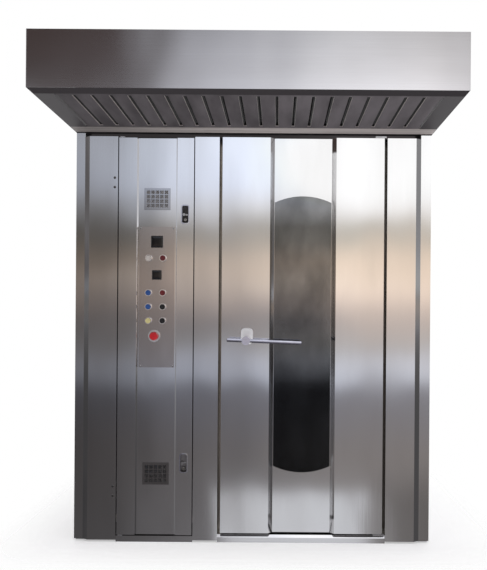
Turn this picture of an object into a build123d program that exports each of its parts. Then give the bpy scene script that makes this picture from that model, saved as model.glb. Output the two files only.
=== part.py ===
"""A bakery rack oven: an insulated chamber behind a windowed door, a service door that carries the
controls, and a vapour hood over the front. Millimetres, +Z up, the front faces -Y, and the origin
lies on the floor in the middle of the oven's outline."""

from build123d import *
import os

os.makedirs("parts", exist_ok=True)

# Stock and clearances
sheet = 2.0
floor_plate = 4.0
seam = 0.3
running_fit = 0.05
free_fit = 0.4

# Widths across the front, from left to right
left_flange_width = 44.0
corner_bevel_width = 28.0
left_panel_width = 145.0
service_reveal = 5.0
service_door_width = 383.0
centre_panel_width = 125.0
door_reveal = 15.5
door_width = 827.0
right_panel_width = 147.0
right_flange_width = 52.0

# Heights
base_height = 38.0
panel_foot = 10.0
door_lift = 10.5
door_height = 2021.5
head_reveal = 2.0
header_height = 18.0
service_door_lift = 36.0
service_head_gap = 6.0
hood_height = 240.0

# Depths
corner_setback = 18.0
corner_return = 40.0
panel_hem = 12.0
header_setback = 30.0
header_flange = 80.0
door_depth = 92.0
gasket_depth = 12.0
jamb_depth = 40.0
chamber_depth = 1130.0
rear_insulation = 150.0
hood_reach = 700.0
hood_lap = 300.0

# Chamber, doorway and the insulated wall behind the service door
chamber_width = 1000.0
roof_insulation = 80.0
doorway_overlap = 45.0
doorway_head_overlap = 95.0
service_compartment_depth = 330.0
bulkhead_thickness = 60.0
duct_slot_length = 200.0
duct_slot_height = 12.0
duct_slot_columns = 3
duct_slot_rows = 14
duct_slot_pitch_y = 250.0
duct_slot_pitch_z = 125.0

# Main door
stile_width = 245.0
door_bevel_width = 21.0
door_recess_depth = 24.0
window_margin = 2.0
window_sill = 340.0
window_height = 1353.0
window_rise = 33.0
glass_thickness = 6.0
glass_lap = 8.0
window_collar_lap = 12.0
gasket_width = 20.0
gasket_inset = 24.0
door_pivot_radius = 8.0
door_pivot_inset = 17.5
door_pivot_setback = 20.0
door_pivot_seat = 20.0
hinge_plate = 8.0
hinge_plate_width = 56.0
hinge_plate_edge = 4.0

# Door handle and latch
handle_from_edge = 130.5
handle_height = 1035.0
handle_standoff = 92.0
handle_bar_radius = 9.5
handle_tail = 96.0
handle_arm = 277.0
handle_droop = 2.0
boss_width = 62.0
boss_height = 82.0
boss_plate = 12.0
boss_rise = 20.0
boss_taper = 12.0
boss_barrel_radius = 20.0
boss_gap = 1.0
boss_corner = 20.0
hub_radius = 21.0
hub_length = 44.0
spindle_radius = 8.0
latch_reach = 110.0
latch_width = 32.0
latch_thickness = 12.0
keeper_thickness = 6.0
keeper_height = 70.0
latch_gap = 2.0

# Service door and what it carries
service_door_depth = 30.0
service_left_stile = 93.0
service_recess_width = 193.0
service_bevel_width = 6.0
service_recess_depth = 12.0
service_pivot_radius = 5.0
service_pivot_inset = 16.0
service_pivot_setback = 10.0
service_hinge_gap = 1.5
service_hinge_plate_width = 24.0
control_plate_thickness = 3.0
control_plate_width = 181.5
control_plate_height = 720.0
control_plate_sill = 855.0
control_window_lap = 12.0
vent_width = 135.0
vent_height = 112.0
vent_lap = 10.0
lower_vent_sill = 255.0
upper_vent_sill = 1661.0
vent_hole = 18.0
vent_pitch = 23.0
vent_columns = 5
vent_rows = 4
upper_display_size = 60.0
lower_display_size = 48.0
display_proud = 6.0
display_body_depth = 40.0
button_cap_radius = 13.5
button_cap_height = 9.0
button_travel = 4.0
button_stem_radius = 8.0
collar_wall = 3.5
collar_height = 11.0
collar_washer = 2.0
cap_gap = 1.0
barrel_radius = 11.5
switch_block_size = 30.0
switch_block_depth = 36.0
switch_block_gap = 4.0
stem_length = 25.0
selector_grip_width = 8.0
selector_grip_length = 25.0
selector_grip_height = 12.0
stop_cap_radius = 21.0
stop_cap_height = 16.0
stop_collar_radius = 31.0
stop_collar_height = 4.0
stop_travel = 6.0
control_column_left = -42.0
control_column_right = 31.0
upper_display_row = 283.0
lamp_row = 199.0
lower_display_row = 113.0
first_row = 21.5
second_row = -50.0
third_row = -121.0
stop_row = -199.0
stop_column = -11.5
latch_pan_width = 44.0
latch_pan_height = 100.0
latch_pan_depth = 16.0
latch_from_edge = 43.0
lower_latch_height = 403.0
upper_latch_height = 1674.0
bolt_height = 12.0
bolt_depth = 6.0
bolt_travel = 14.0
thumb_radius = 7.0
thumb_neck_radius = 4.0
thumb_gap = 3.0
latch_pan_lap = 4.0
latch_pan_corner = 14.0
bolt_grip = 24.0
bolt_rest_gap = 0.5

# Hood
fascia_bottom_lip = 80.0
fascia_top_lip = 30.0
fascia_hem = 25.0
gutter_width = 96.0
gutter_height = 40.0
gutter_gap = 6.0
ledge_width = 83.0
filter_count = 3
baffles_per_filter = 7
baffle_base = 62.0
baffle_cover = 26.0
baffle_flare = 5.0
baffle_height = 22.0
baffle_overlap = 6.0
filter_rail = 24.0
duct_radius = 150.0
duct_length = 120.0
duct_flange = 30.0
duct_flange_thickness = 4.0
hood_motor_radius = 55.0
hood_motor_height = 70.0
hood_motor_rise = 46.0
hood_arm_width = 14.0
hood_fan_hub_radius = 40.0
hood_fan_hub_height = 44.0
hood_fan_radius = 138.0
hood_fan_blades = 6
hood_fan_chord = 58.0
hood_fan_pitch = 35.0
hood_shaft_radius = 8.0
blade_thickness = 3.0

# Base
rail_width = 60.0
rail_wall = 4.0
rail_setback = 24.0
threshold_nose = 12.0

# Heating, steam and rack drive
heater_from_left = 310.0
drum_radius = 190.0
drum_height = 440.0
drum_length = 720.0
drum_gap = 34.0
saddle_thickness = 40.0
saddle_width = 260.0
exchanger_width = 320.0
exchanger_depth = 600.0
exchanger_header = 60.0
exchanger_tube_radius = 30.0
exchanger_fan_gap = 35.0
exchanger_tube_columns = 3
exchanger_tube_rows = 4
flue_radius = 75.0
flue_wall = 3.0
flue_length = 150.0
burner_radius = 62.0
burner_flange = 100.0
burner_body_width = 220.0
burner_body_height = 260.0
burner_body_depth = 170.0
fan_drop = 285.0
fan_motor_radius = 90.0
fan_motor_length = 210.0
fan_motor_flange = 130.0
fan_flange_thickness = 14.0
fan_shaft_radius = 14.0
fan_shaft_grip = 60.0
fan_radius = 205.0
fan_width = 120.0
fan_hub_radius = 45.0
fan_blades = 12
fan_gap = 20.0
steam_trough_width = 70.0
steam_trough_height = 40.0
steam_trough_length = 420.0
steam_trough_wall = 6.0
steam_troughs = 6
steam_pitch = 150.0
steam_foot = 380.0
steam_post = 40.0
panel_plate_height = 620.0
panel_plate_width = 200.0
panel_plate_sill = 880.0
contactor_size = 60.0
contactors = 4
drive_plate = 240.0
drive_plate_thickness = 12.0
gearbox_size = 160.0
gearbox_height = 110.0
drive_motor_radius = 62.0
drive_motor_length = 190.0
drive_sleeve_wall = 22.0
rack_shaft_radius = 18.0
rack_shaft_play = 0.3
rack_shaft_grip = 60.0
rack_beam_drop = 80.0
rack_beam_reach = 250.0
rack_beam_thickness = 14.0
rack_beam_width = 44.0
rack_hook_drop = 70.0
rack_hook_toe = 50.0
gland_radius = 22.0
gas_pipe_radius = 17.0
water_pipe_radius = 11.0
inlet_height = 60.0
inlet_collar_height = 20.0
inlet_collar_ratio = 2.0
inlet_bore_ratio = 0.5
inlet_pitch = 110.0
inlet_from_edge = 130.0


def span(start, size):
    """Limits along one axis, from a start and a size."""
    return (start, start + size)


def middle(limits):
    """The middle of a pair of limits."""
    return (limits[0] + limits[1]) / 2


def extent(limits):
    """The distance between a pair of limits."""
    return limits[1] - limits[0]


# Stations along X
body_width = (
    left_flange_width
    + right_flange_width
    + 2 * corner_bevel_width
    + left_panel_width
    + centre_panel_width
    + right_panel_width
    + 2 * service_reveal
    + service_door_width
    + 2 * door_reveal
    + door_width
)
x_left = -body_width / 2
x_right = body_width / 2
inside_x = (x_left + sheet + seam, x_right - sheet - seam)
left_panel_x = span(x_left + left_flange_width + corner_bevel_width, left_panel_width)
service_x = span(left_panel_x[1] + service_reveal, service_door_width)
centre_panel_x = span(service_x[1] + service_reveal, centre_panel_width)
door_x = span(centre_panel_x[1] + door_reveal, door_width)
right_panel_x = span(door_x[1] + door_reveal, right_panel_width)
door_centre = middle(door_x)
chamber_x = span(door_centre - chamber_width / 2, chamber_width)
doorway_x = (door_x[0] + doorway_overlap, door_x[1] - doorway_overlap)
heater_x = x_left + heater_from_left

# Stations along Y
body_depth = door_depth + gasket_depth + chamber_depth + rear_insulation + 2 * sheet
y_hood = -(hood_reach + body_depth) / 2
y_front = y_hood + hood_reach
y_flange = y_front + corner_setback
y_header = y_front + header_setback
y_door_back = y_front + door_depth
y_jamb = y_door_back + gasket_depth
y_chamber = y_jamb + jamb_depth
y_rear_wall = y_jamb + chamber_depth
y_rear = y_front + body_depth
y_hood_back = y_front + hood_lap
y_roof = y_header + header_flange + seam
bulkhead_y = span(y_front + service_compartment_depth, bulkhead_thickness)
flue_place = (heater_x, bulkhead_y[1] + drum_gap + drum_length / 2)

# Stations along Z
door_z = span(base_height + door_lift, door_height)
header_z = span(door_z[1] + head_reveal, header_height)
body_height = header_z[1]
panel_z = (panel_foot, door_z[1])
service_z = (service_door_lift, door_z[1] - service_head_gap)
hood_z = span(body_height, hood_height)
floor_z = base_height + floor_plate
roof_z = body_height - sheet
ceiling_z = roof_z - seam - roof_insulation - seam - sheet
doorway_top = door_z[1] - doorway_head_overlap


def block(x, y, z, mode=Mode.ADD):
    """A rectangular block between limits along X, Y and Z."""
    with Locations((middle(x), middle(y), middle(z))):
        Box(extent(x), extent(y), extent(z), mode=mode)


def upright(y):
    """The upright plane at a depth, facing the front, with X and Z as its own axes."""
    return Plane.XZ.offset(-y)


def bar_along_y(centres, y, radius, mode=Mode.ADD):
    """Round bars or bores along Y at centres given in X and Z."""
    with BuildSketch(upright(y[1])) as ends:
        with Locations(*centres):
            Circle(radius)
    extrude(ends.sketch, amount=extent(y), mode=mode)


def bar_along_z(centres, z, radius, mode=Mode.ADD):
    """Round bars or bores along Z at centres given in X and Y."""
    with BuildSketch(Plane.XY.offset(z[0])) as ends:
        with Locations(*centres):
            Circle(radius)
    extrude(ends.sketch, amount=extent(z), mode=mode)


def folded(plane, line, length):
    """Sheet bent along a line of points, its thickness to the left, carried along the plane's normal."""
    points = [Vector(*point) for point in line]
    sides = [(after - before).normalized().rotate(Axis.Z, 90) for before, after in zip(points, points[1:])]
    inside = []
    for point, first, second in zip(points, [sides[0], *sides], [*sides, sides[-1]]):
        inside.append(point + (first + second) * (sheet / (1 + first.dot(second))))
    with BuildSketch(plane) as section:
        with BuildLine():
            Polyline(*points, *reversed(inside), close=True)
        make_face()
    extrude(section.sketch, amount=length)


# Base rails: hollow bars that carry the oven and lie on the floor
def hollow_rail(x, y, along):
    """A rectangular hollow bar as high as the base, open at its ends, along X or Y."""
    if along == "Y":
        plane = Plane.XZ.offset(-y[1])
        width, length, centre = extent(x), extent(y), middle(x)
    else:
        plane = Plane.YZ.offset(x[0])
        width, length, centre = extent(y), extent(x), middle(y)
    with BuildSketch(plane) as section:
        with Locations((centre, base_height / 2)):
            Rectangle(width, base_height)
            Rectangle(width - 2 * rail_wall, base_height - 2 * rail_wall, mode=Mode.SUBTRACT)
    extrude(section.sketch, amount=length)


rail_y = (y_flange + rail_setback, y_rear - sheet - seam)
cross_x = (inside_x[0] + rail_width + seam, inside_x[1] - rail_width - seam)
service_cross_x = (cross_x[0], chamber_x[0])
with BuildPart() as base_rails:
    hollow_rail(span(inside_x[0], rail_width), rail_y, "Y")
    hollow_rail((inside_x[1] - rail_width, inside_x[1]), rail_y, "Y")
    hollow_rail(cross_x, (rail_y[1] - rail_width, rail_y[1]), "X")
    hollow_rail(cross_x, span(y_chamber, rail_width), "X")
    hollow_rail(service_cross_x, span(rail_y[0], rail_width), "X")
    hollow_rail(cross_x, span(middle(rail_y), rail_width), "X")

# Threshold: the strip under the door, with a bevelled nose for the rack's wheels
threshold_x = (centre_panel_x[1] + seam, right_panel_x[0] - seam)
with BuildPart() as threshold:
    with BuildSketch(Plane.YZ.offset(threshold_x[0])):
        with BuildLine():
            Polyline(
                (y_front + sheet, 0),
                (y_front + sheet, base_height - threshold_nose),
                (y_front + sheet + threshold_nose, base_height),
                (y_chamber - seam, base_height),
                (y_chamber - seam, 0),
                close=True,
            )
        make_face()
    extrude(amount=extent(threshold_x))

# Chamber liner: floor, right wall, rear wall and ceiling, each its own sheet
liner_x = (inside_x[0], chamber_x[1] + sheet)
liner_y = (y_chamber + seam, y_rear_wall)
slab_y = (y_chamber + seam, y_rear_wall + sheet)
liner_z = (floor_z + seam, ceiling_z - seam)
shaft_y = middle((y_chamber, y_rear_wall))
shaft_place = (door_centre, shaft_y)
sleeve_radius = rack_shaft_radius + drive_sleeve_wall
with BuildPart() as chamber_liner:
    block(liner_x, slab_y, (base_height, floor_z))
    block(span(chamber_x[1], sheet), liner_y, liner_z)
    block(liner_x, span(y_rear_wall + seam, sheet - seam), liner_z)
    block(liner_x, slab_y, span(ceiling_z, sheet))
    bar_along_z([shaft_place], span(ceiling_z, sheet), sleeve_radius + free_fit, Mode.SUBTRACT)
    bar_along_z([flue_place], span(ceiling_z, sheet), flue_radius + free_fit, Mode.SUBTRACT)
    bulkhead_hole_y = (y_chamber + seam, bulkhead_y[1] + seam)
    block((inside_x[0], chamber_x[0] - sheet), bulkhead_hole_y, span(ceiling_z, sheet), Mode.SUBTRACT)
    block((inside_x[0], chamber_x[0] - sheet), bulkhead_hole_y, (base_height, floor_z), Mode.SUBTRACT)

# Duct wall: the chamber's left wall, with rows of slots that blow the hot air over the rack
slot_y = middle((bulkhead_y[1], y_rear_wall))
with BuildPart() as chamber_duct_wall:
    block((chamber_x[0] - sheet, chamber_x[0]), liner_y, liner_z)
    with BuildSketch(Plane.YZ.offset(chamber_x[0] - sheet)):
        with Locations((slot_y, middle(liner_z))):
            with GridLocations(duct_slot_pitch_y, duct_slot_pitch_z, duct_slot_columns, duct_slot_rows):
                Rectangle(duct_slot_length, duct_slot_height)
    extrude(amount=sheet, mode=Mode.SUBTRACT)

# Insulation: slabs beside, behind and over the chamber
slab_z = (floor_z + seam, roof_z - seam)
with BuildPart() as insulation_slabs:
    block((chamber_x[1] + sheet + seam, inside_x[1]), slab_y, slab_z)
    block(inside_x, (y_rear_wall + sheet + seam, y_rear - sheet - seam), slab_z)
    top_z = (ceiling_z + sheet + seam, roof_z - seam)
    block((chamber_x[0] - sheet, chamber_x[1] + sheet), slab_y, top_z)
    block((inside_x[0], chamber_x[0] - sheet - seam), (bulkhead_y[1] + seam, slab_y[1]), top_z)
    bar_along_z([shaft_place], top_z, sleeve_radius + free_fit, Mode.SUBTRACT)
    bar_along_z([flue_place], top_z, flue_radius + free_fit, Mode.SUBTRACT)

# Door frame: the keeper of the door's latch, and the posts and head that the door closes against
frame_top = roof_z - seam
x_handle = door_x[0] + handle_from_edge
keeper_x = (x_handle - latch_reach, doorway_x[0])
keeper_y = span(y_chamber + seam, keeper_thickness)
keeper_z = span(handle_height - keeper_height / 2, keeper_height)
with BuildPart() as door_frame:
    block(keeper_x, keeper_y, keeper_z)
    chamfer(door_frame.edges().filter_by(Axis.X).sort_by(Axis.Y)[-2:], length=keeper_thickness / 2)
    block((chamber_x[0] - sheet, doorway_x[0]), (y_jamb, y_chamber), (base_height + seam, frame_top))
    block((doorway_x[1], chamber_x[1] + sheet), (y_jamb, y_chamber), (base_height + seam, frame_top))
    block((doorway_x[0] + seam, doorway_x[1] - seam), (y_jamb, y_chamber), (doorway_top, frame_top))

# Casing: side, rear and roof sheets
with BuildPart() as side_panels:
    for x in (span(x_left, sheet), (x_right - sheet, x_right)):
        block(x, (y_flange + corner_return + seam, y_rear), (panel_foot, body_height))
with BuildPart() as rear_panel:
    block(inside_x, (y_rear - sheet, y_rear), (panel_foot, body_height))
inlet_y = y_rear - inlet_from_edge
inlet_x = [x_left + inlet_from_edge + inlet_pitch * place for place in range(3)]
with BuildPart() as roof_panel:
    block(inside_x, (y_roof, y_rear - sheet - seam), (roof_z, body_height))
    bar_along_z([shaft_place], (roof_z, body_height), sleeve_radius + free_fit, Mode.SUBTRACT)
    bar_along_z([flue_place], (roof_z, body_height), flue_radius + free_fit, Mode.SUBTRACT)

# Front panels: folded sheets with a set-back corner flange and a bevel
with BuildPart() as front_panel_left:
    left_line = [
        (x_left, y_flange + corner_return),
        (x_left, y_flange),
        (x_left + left_flange_width, y_flange),
        (left_panel_x[0], y_front),
        (left_panel_x[1], y_front),
        (left_panel_x[1], y_front + panel_hem),
    ]
    folded(Plane.XY.offset(panel_z[0]), left_line, extent(panel_z))
    block(span(x_left, left_flange_width), span(y_flange, sheet), (panel_z[1], body_height))
with BuildPart() as front_panel_centre:
    centre_line = [
        (centre_panel_x[0], y_front + panel_hem),
        (centre_panel_x[0], y_front),
        (centre_panel_x[1], y_front),
        (centre_panel_x[1], y_jamb),
    ]
    folded(Plane.XY.offset(panel_z[0]), centre_line, extent(panel_z))
with BuildPart() as front_panel_right:
    right_line = [
        (right_panel_x[0], y_jamb),
        (right_panel_x[0], y_front),
        (right_panel_x[1], y_front),
        (right_panel_x[1] + corner_bevel_width, y_flange),
        (x_right, y_flange),
        (x_right, y_flange + corner_return),
    ]
    folded(Plane.XY.offset(panel_z[0]), right_line, extent(panel_z))
    flange_x = (x_right - right_flange_width, x_right)
    block(flange_x, span(y_flange, sheet), (panel_z[1], body_height))

# Header over the doors and the kick plate under the service door
header_x = (left_panel_x[0], right_panel_x[1])
with BuildPart() as front_header:
    header_line = [
        (y_roof - seam, header_z[1]),
        (y_header, header_z[1]),
        (y_header, header_z[0]),
    ]
    folded(Plane.YZ.offset(header_x[0]), header_line, extent(header_x))
kick_x = (left_panel_x[1] + seam, centre_panel_x[0] - seam)
kick_z = (0, service_door_lift - service_reveal)
with BuildPart() as kick_plate:
    kick_line = [
        (rail_y[0], kick_z[1]),
        (y_front + sheet, kick_z[1]),
        (y_front + sheet, kick_z[0]),
    ]
    folded(Plane.YZ.offset(kick_x[0]), kick_line, extent(kick_x))

# Bulkhead: the insulated wall round the service compartment, with holes for the burner and the fan
burner_place = (heater_x, drum_height)
fan_place = (heater_x, ceiling_z - fan_drop)
bulkhead_z = (floor_z + seam, roof_z - seam)
with BuildPart() as compartment_bulkhead:
    corner_x = chamber_x[0] - sheet - seam
    with BuildSketch(Plane.XY.offset(bulkhead_z[0])):
        with BuildLine():
            Polyline(
                (inside_x[0], bulkhead_y[0]),
                (corner_x - bulkhead_thickness, bulkhead_y[0]),
                (corner_x - bulkhead_thickness, y_jamb),
                (corner_x, y_jamb),
                (corner_x, bulkhead_y[1]),
                (inside_x[0], bulkhead_y[1]),
                close=True,
            )
        make_face()
    extrude(amount=extent(bulkhead_z))
    bar_along_y([burner_place], bulkhead_y, burner_radius + free_fit, Mode.SUBTRACT)
    bar_along_y([fan_place], bulkhead_y, fan_shaft_radius + free_fit, Mode.SUBTRACT)

# Hood: fascia with folded lips, side cheeks, top and back sheets
with BuildPart() as hood_fascia:
    fascia_line = [
        (y_hood + fascia_top_lip, hood_z[1] - sheet),
        (y_hood, hood_z[1] - sheet),
        (y_hood, hood_z[0]),
        (y_hood + fascia_bottom_lip, hood_z[0]),
        (y_hood + fascia_bottom_lip, hood_z[0] + fascia_hem),
    ]
    folded(Plane.YZ.offset(inside_x[0]), fascia_line, extent(inside_x))
duct_place = (0, middle((y_hood, y_hood_back)))
with BuildPart() as hood_box:
    for x in (span(x_left, sheet), (x_right - sheet, x_right)):
        block(x, (y_hood, y_hood_back), hood_z)
    block(inside_x, (y_hood, y_hood_back), (hood_z[1] - sheet, hood_z[1]))
    block(inside_x, (y_hood_back - sheet, y_hood_back), (hood_z[0], hood_z[1] - sheet - seam))
    bar_along_z([duct_place], (hood_z[1] - sheet, hood_z[1]), duct_radius, Mode.SUBTRACT)

# Gutter along the rear of the hood's underside, and the ledges at its sides
gutter_y = (y_front - gutter_gap - gutter_width, y_front - gutter_gap)
filter_y = (y_hood + fascia_bottom_lip + seam, gutter_y[0] - seam)
filter_x = (inside_x[0] + ledge_width + seam, inside_x[1] - ledge_width - seam)
with BuildPart() as hood_gutter:
    gutter_line = [
        (gutter_y[0], hood_z[0] + gutter_height),
        (gutter_y[0], hood_z[0]),
        (gutter_y[1], hood_z[0]),
        (gutter_y[1], hood_z[0] + gutter_height),
    ]
    folded(Plane.YZ.offset(inside_x[0]), gutter_line, extent(inside_x))
    for side in (1, -1):
        wall = inside_x[0] if side > 0 else inside_x[1]
        ledge_line = [
            (wall, hood_z[0] + gutter_height),
            (wall, hood_z[0]),
            (wall + side * ledge_width, hood_z[0]),
            (wall + side * ledge_width, hood_z[0] + fascia_hem),
        ]
        if side < 0:
            ledge_line.reverse()
        folded(upright(filter_y[1]), ledge_line, extent(filter_y))

# Baffle filters: cassettes of flared channels, with covering channels over the slots between them
filter_pitch = extent(filter_x) / filter_count
filter_width = filter_pitch - 2 * seam
baffle_pitch = filter_width / baffles_per_filter
filter_z = (hood_z[0] + sheet, hood_z[0] + sheet + 2 * baffle_height - baffle_overlap)


def flared_channel(centre, width, z, up):
    """A folded channel along Y with flared sides, open upwards or downwards."""
    half = width / 2
    base, rim = (z[0], z[1]) if up else (z[1], z[0])
    line = [
        (centre - half - baffle_flare, rim),
        (centre - half, base),
        (centre + half, base),
        (centre + half + baffle_flare, rim),
    ]
    if not up:
        line.reverse()
    folded(upright(filter_y[1]), line, extent(filter_y))


with BuildPart() as baffle_filters:
    lower_z = span(filter_z[0], baffle_height)
    upper_z = (filter_z[1] - baffle_height, filter_z[1])
    for cassette in range(filter_count):
        cassette_x = span(filter_x[0] + cassette * filter_pitch + seam, filter_width)
        first_baffle = cassette_x[0] + baffle_pitch / 2
        for place in range(baffles_per_filter):
            flared_channel(first_baffle + place * baffle_pitch, baffle_base, lower_z, True)
        for place in range(1, baffles_per_filter):
            flared_channel(cassette_x[0] + place * baffle_pitch, baffle_cover, upper_z, False)
        for rail in (span(filter_y[0], filter_rail), (filter_y[1] - filter_rail, filter_y[1])):
            block(cassette_x, rail, filter_z)

# Hood duct with the fan's motor on arms across it
motor_z = span(hood_z[1] + hood_motor_rise, hood_motor_height)
with BuildPart() as hood_fan_housing:
    bar_along_z([duct_place], span(hood_z[1], duct_flange_thickness), duct_radius + duct_flange)
    bar_along_z([duct_place], span(hood_z[1], duct_length), duct_radius)
    bar_along_z([duct_place], span(hood_z[1], duct_length), duct_radius - sheet, Mode.SUBTRACT)
    bar_along_z([duct_place], motor_z, hood_motor_radius)
    with BuildSketch(Plane.XY.offset(middle(motor_z))):
        with Locations(duct_place):
            Rectangle(2 * (duct_radius - sheet / 2), hood_arm_width)
            Rectangle(hood_arm_width, 2 * (duct_radius - sheet / 2))
    extrude(amount=hood_arm_width / 2, both=True)
    shaft_bore_z = span(motor_z[0], hood_motor_height / 2)
    bar_along_z([duct_place], shaft_bore_z, hood_shaft_radius + running_fit, Mode.SUBTRACT)
fan_hub_z = (motor_z[0] - seam - hood_fan_hub_height, motor_z[0] - seam)
with BuildPart() as hood_impeller:
    bar_along_z([duct_place], fan_hub_z, hood_fan_hub_radius)
    bar_along_z([duct_place], (fan_hub_z[1], shaft_bore_z[1] - seam), hood_shaft_radius)
    blade_length = hood_fan_radius - hood_fan_hub_radius / 2
    with Locations((duct_place[0], duct_place[1], middle(fan_hub_z))):
        with PolarLocations(hood_fan_radius - blade_length / 2, hood_fan_blades):
            Box(blade_length, hood_fan_chord, blade_thickness, rotation=(hood_fan_pitch, 0, 0))

# Main door: stations of its folded front
y_recess = y_front + door_recess_depth
y_inner = y_door_back - sheet
recess_x = (door_x[0] + stile_width + door_bevel_width, door_x[1] - stile_width - door_bevel_width)
window_z = span(door_z[0] + window_sill, window_height)
handle_place = (x_handle, handle_height)
spindle_hole = spindle_radius + free_fit
door_pivot = (door_x[1] - door_pivot_inset, y_front + door_pivot_setback)


def window_outline(y, grow):
    """The window's outline at a depth: upright sides between two shallow arcs, grown outwards."""
    half = extent(recess_x) / 2 - window_margin + grow
    left, right = door_centre - half, door_centre + half
    low, high = window_z[0] - grow, window_z[1] + grow
    with BuildSketch(upright(y)) as outline:
        with BuildLine():
            Line((left, low), (left, high))
            ThreePointArc((left, high), (door_centre, high + window_rise), (right, high))
            Line((right, high), (right, low))
            ThreePointArc((right, low), (door_centre, low - window_rise), (left, low))
        make_face()
    return outline.sketch


# Door leaf: a folded pan with raised stiles and a recessed centre that holds the window
with BuildPart() as door_leaf:
    with BuildSketch(Plane.XY.offset(door_z[0])):
        with BuildLine():
            Polyline(
                (door_x[0], y_inner),
                (door_x[0], y_front),
                (door_x[0] + stile_width, y_front),
                (recess_x[0], y_recess),
                (recess_x[1], y_recess),
                (door_x[1] - stile_width, y_front),
                (door_x[1], y_front),
                (door_x[1], y_inner),
                close=True,
            )
        make_face()
    extrude(amount=door_height)
    offset(amount=-sheet, openings=door_leaf.faces().sort_by(Axis.Y)[-1])
    extrude(window_outline(y_recess + sheet, 0), amount=sheet, mode=Mode.SUBTRACT)
    bar_along_y([handle_place], span(y_front, sheet), spindle_hole, Mode.SUBTRACT)
    bar_along_z([door_pivot], door_z, door_pivot_radius + running_fit, Mode.SUBTRACT)

# Inner panel: closes the pan, with a collar that carries both panes
pane_y = span(y_recess + sheet, glass_thickness)
inner_pane_y = (y_inner - glass_thickness, y_inner)
with BuildPart() as door_inner_panel:
    block(door_x, (y_inner, y_door_back), door_z)
    collar_depth = y_inner - y_recess - sheet - seam
    extrude(window_outline(y_inner, window_collar_lap + sheet), amount=collar_depth)
    extrude(window_outline(y_inner, window_collar_lap), amount=collar_depth, mode=Mode.SUBTRACT)
    extrude(window_outline(y_door_back, 0), amount=sheet, mode=Mode.SUBTRACT)
    bar_along_y([handle_place], (y_inner, y_door_back), spindle_hole, Mode.SUBTRACT)
with BuildPart() as window_panes:
    extrude(window_outline(pane_y[1], glass_lap), amount=glass_thickness)
    extrude(window_outline(inner_pane_y[1], glass_lap), amount=glass_thickness)

# Door insulation: slabs behind the stiles and above and below the window
fill_y = (y_front + sheet + seam, y_inner - seam)
fill_z = (door_z[0] + sheet + seam, door_z[1] - sheet - seam)
collar_x = (recess_x[0] - window_collar_lap - 2 * sheet, recess_x[1] + window_collar_lap + 2 * sheet)
collar_end = window_rise + window_collar_lap + 2 * sheet
pivot_block = 2 * door_pivot_inset
with BuildPart() as door_insulation:
    left_fill = (door_x[0] + sheet + seam, door_x[0] + stile_width - sheet)
    right_fill = (door_x[1] - stile_width + sheet, door_x[1] - sheet - seam)
    block(left_fill, fill_y, fill_z)
    block(right_fill, fill_y, (fill_z[0] + pivot_block, fill_z[1] - pivot_block))
    back_fill_y = (y_recess + sheet + seam, fill_y[1])
    centre_fill = (left_fill[1] + seam, right_fill[0] - seam)
    block(centre_fill, back_fill_y, (fill_z[0], window_z[0] - collar_end))
    block(centre_fill, back_fill_y, (window_z[1] + collar_end, fill_z[1]))
    bar_along_y([handle_place], fill_y, spindle_hole, Mode.SUBTRACT)

# Gasket: four strips on the back of the door that meet the frame
gasket_y = (y_door_back, y_jamb - seam)
gasket_x = (door_x[0] + gasket_inset, door_x[1] - gasket_inset)
gasket_z = (door_z[0] + gasket_inset, door_z[1] - gasket_inset)
with BuildPart() as door_gasket:
    block(span(gasket_x[0], gasket_width), gasket_y, gasket_z)
    block((gasket_x[1] - gasket_width, gasket_x[1]), gasket_y, gasket_z)
    cross_gasket_x = (gasket_x[0] + gasket_width + seam, gasket_x[1] - gasket_width - seam)
    block(cross_gasket_x, gasket_y, (gasket_z[1] - gasket_width, gasket_z[1]))
    block(cross_gasket_x, gasket_y, span(gasket_z[0], gasket_width))

# Door pivots: a pin in a block at the top and bottom of the hinge side
block_x = (door_pivot[0] - door_pivot_inset + sheet + seam, door_x[1] - sheet - seam)
block_y = (y_front + sheet + seam, door_pivot[1] + door_pivot_inset)
lower_plate_z = span(base_height, hinge_plate)
upper_plate_z = span(header_z[0] + seam, hinge_plate)
with BuildPart() as door_pivots:
    block(block_x, block_y, span(door_z[0] + sheet, door_pivot_seat))
    block(block_x, block_y, (door_z[1] - sheet - door_pivot_seat, door_z[1] - sheet))
    bar_along_z([door_pivot], (lower_plate_z[0] + seam, door_z[0] + sheet), door_pivot_radius)
    bar_along_z([door_pivot], (door_z[1] - sheet, upper_plate_z[1]), door_pivot_radius)

# Hinge brackets of both doors, with a bore for each pin
service_pivot = (service_x[0] + service_pivot_inset, y_front + service_pivot_setback)
service_lower_z = (kick_z[1], service_z[0] - service_hinge_gap)
service_upper_z = (service_z[1] + service_hinge_gap, header_z[0] - seam)
with BuildPart() as hinge_brackets:
    plate_x = span(door_pivot[0] - hinge_plate_width / 2, hinge_plate_width)
    plate_y = (y_front + hinge_plate_edge, y_header)
    block(plate_x, plate_y, lower_plate_z)
    block(plate_x, plate_y, upper_plate_z)
    for z in (lower_plate_z, upper_plate_z):
        bar_along_z([door_pivot], z, door_pivot_radius + running_fit, Mode.SUBTRACT)
    small_x = span(service_pivot[0] - service_hinge_plate_width / 2, service_hinge_plate_width)
    small_y = (y_front + hinge_plate_edge, y_header + sheet)
    for z in (service_lower_z, service_upper_z):
        block(small_x, small_y, z)
        bar_along_z([service_pivot], z, service_pivot_radius + running_fit, Mode.SUBTRACT)

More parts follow.
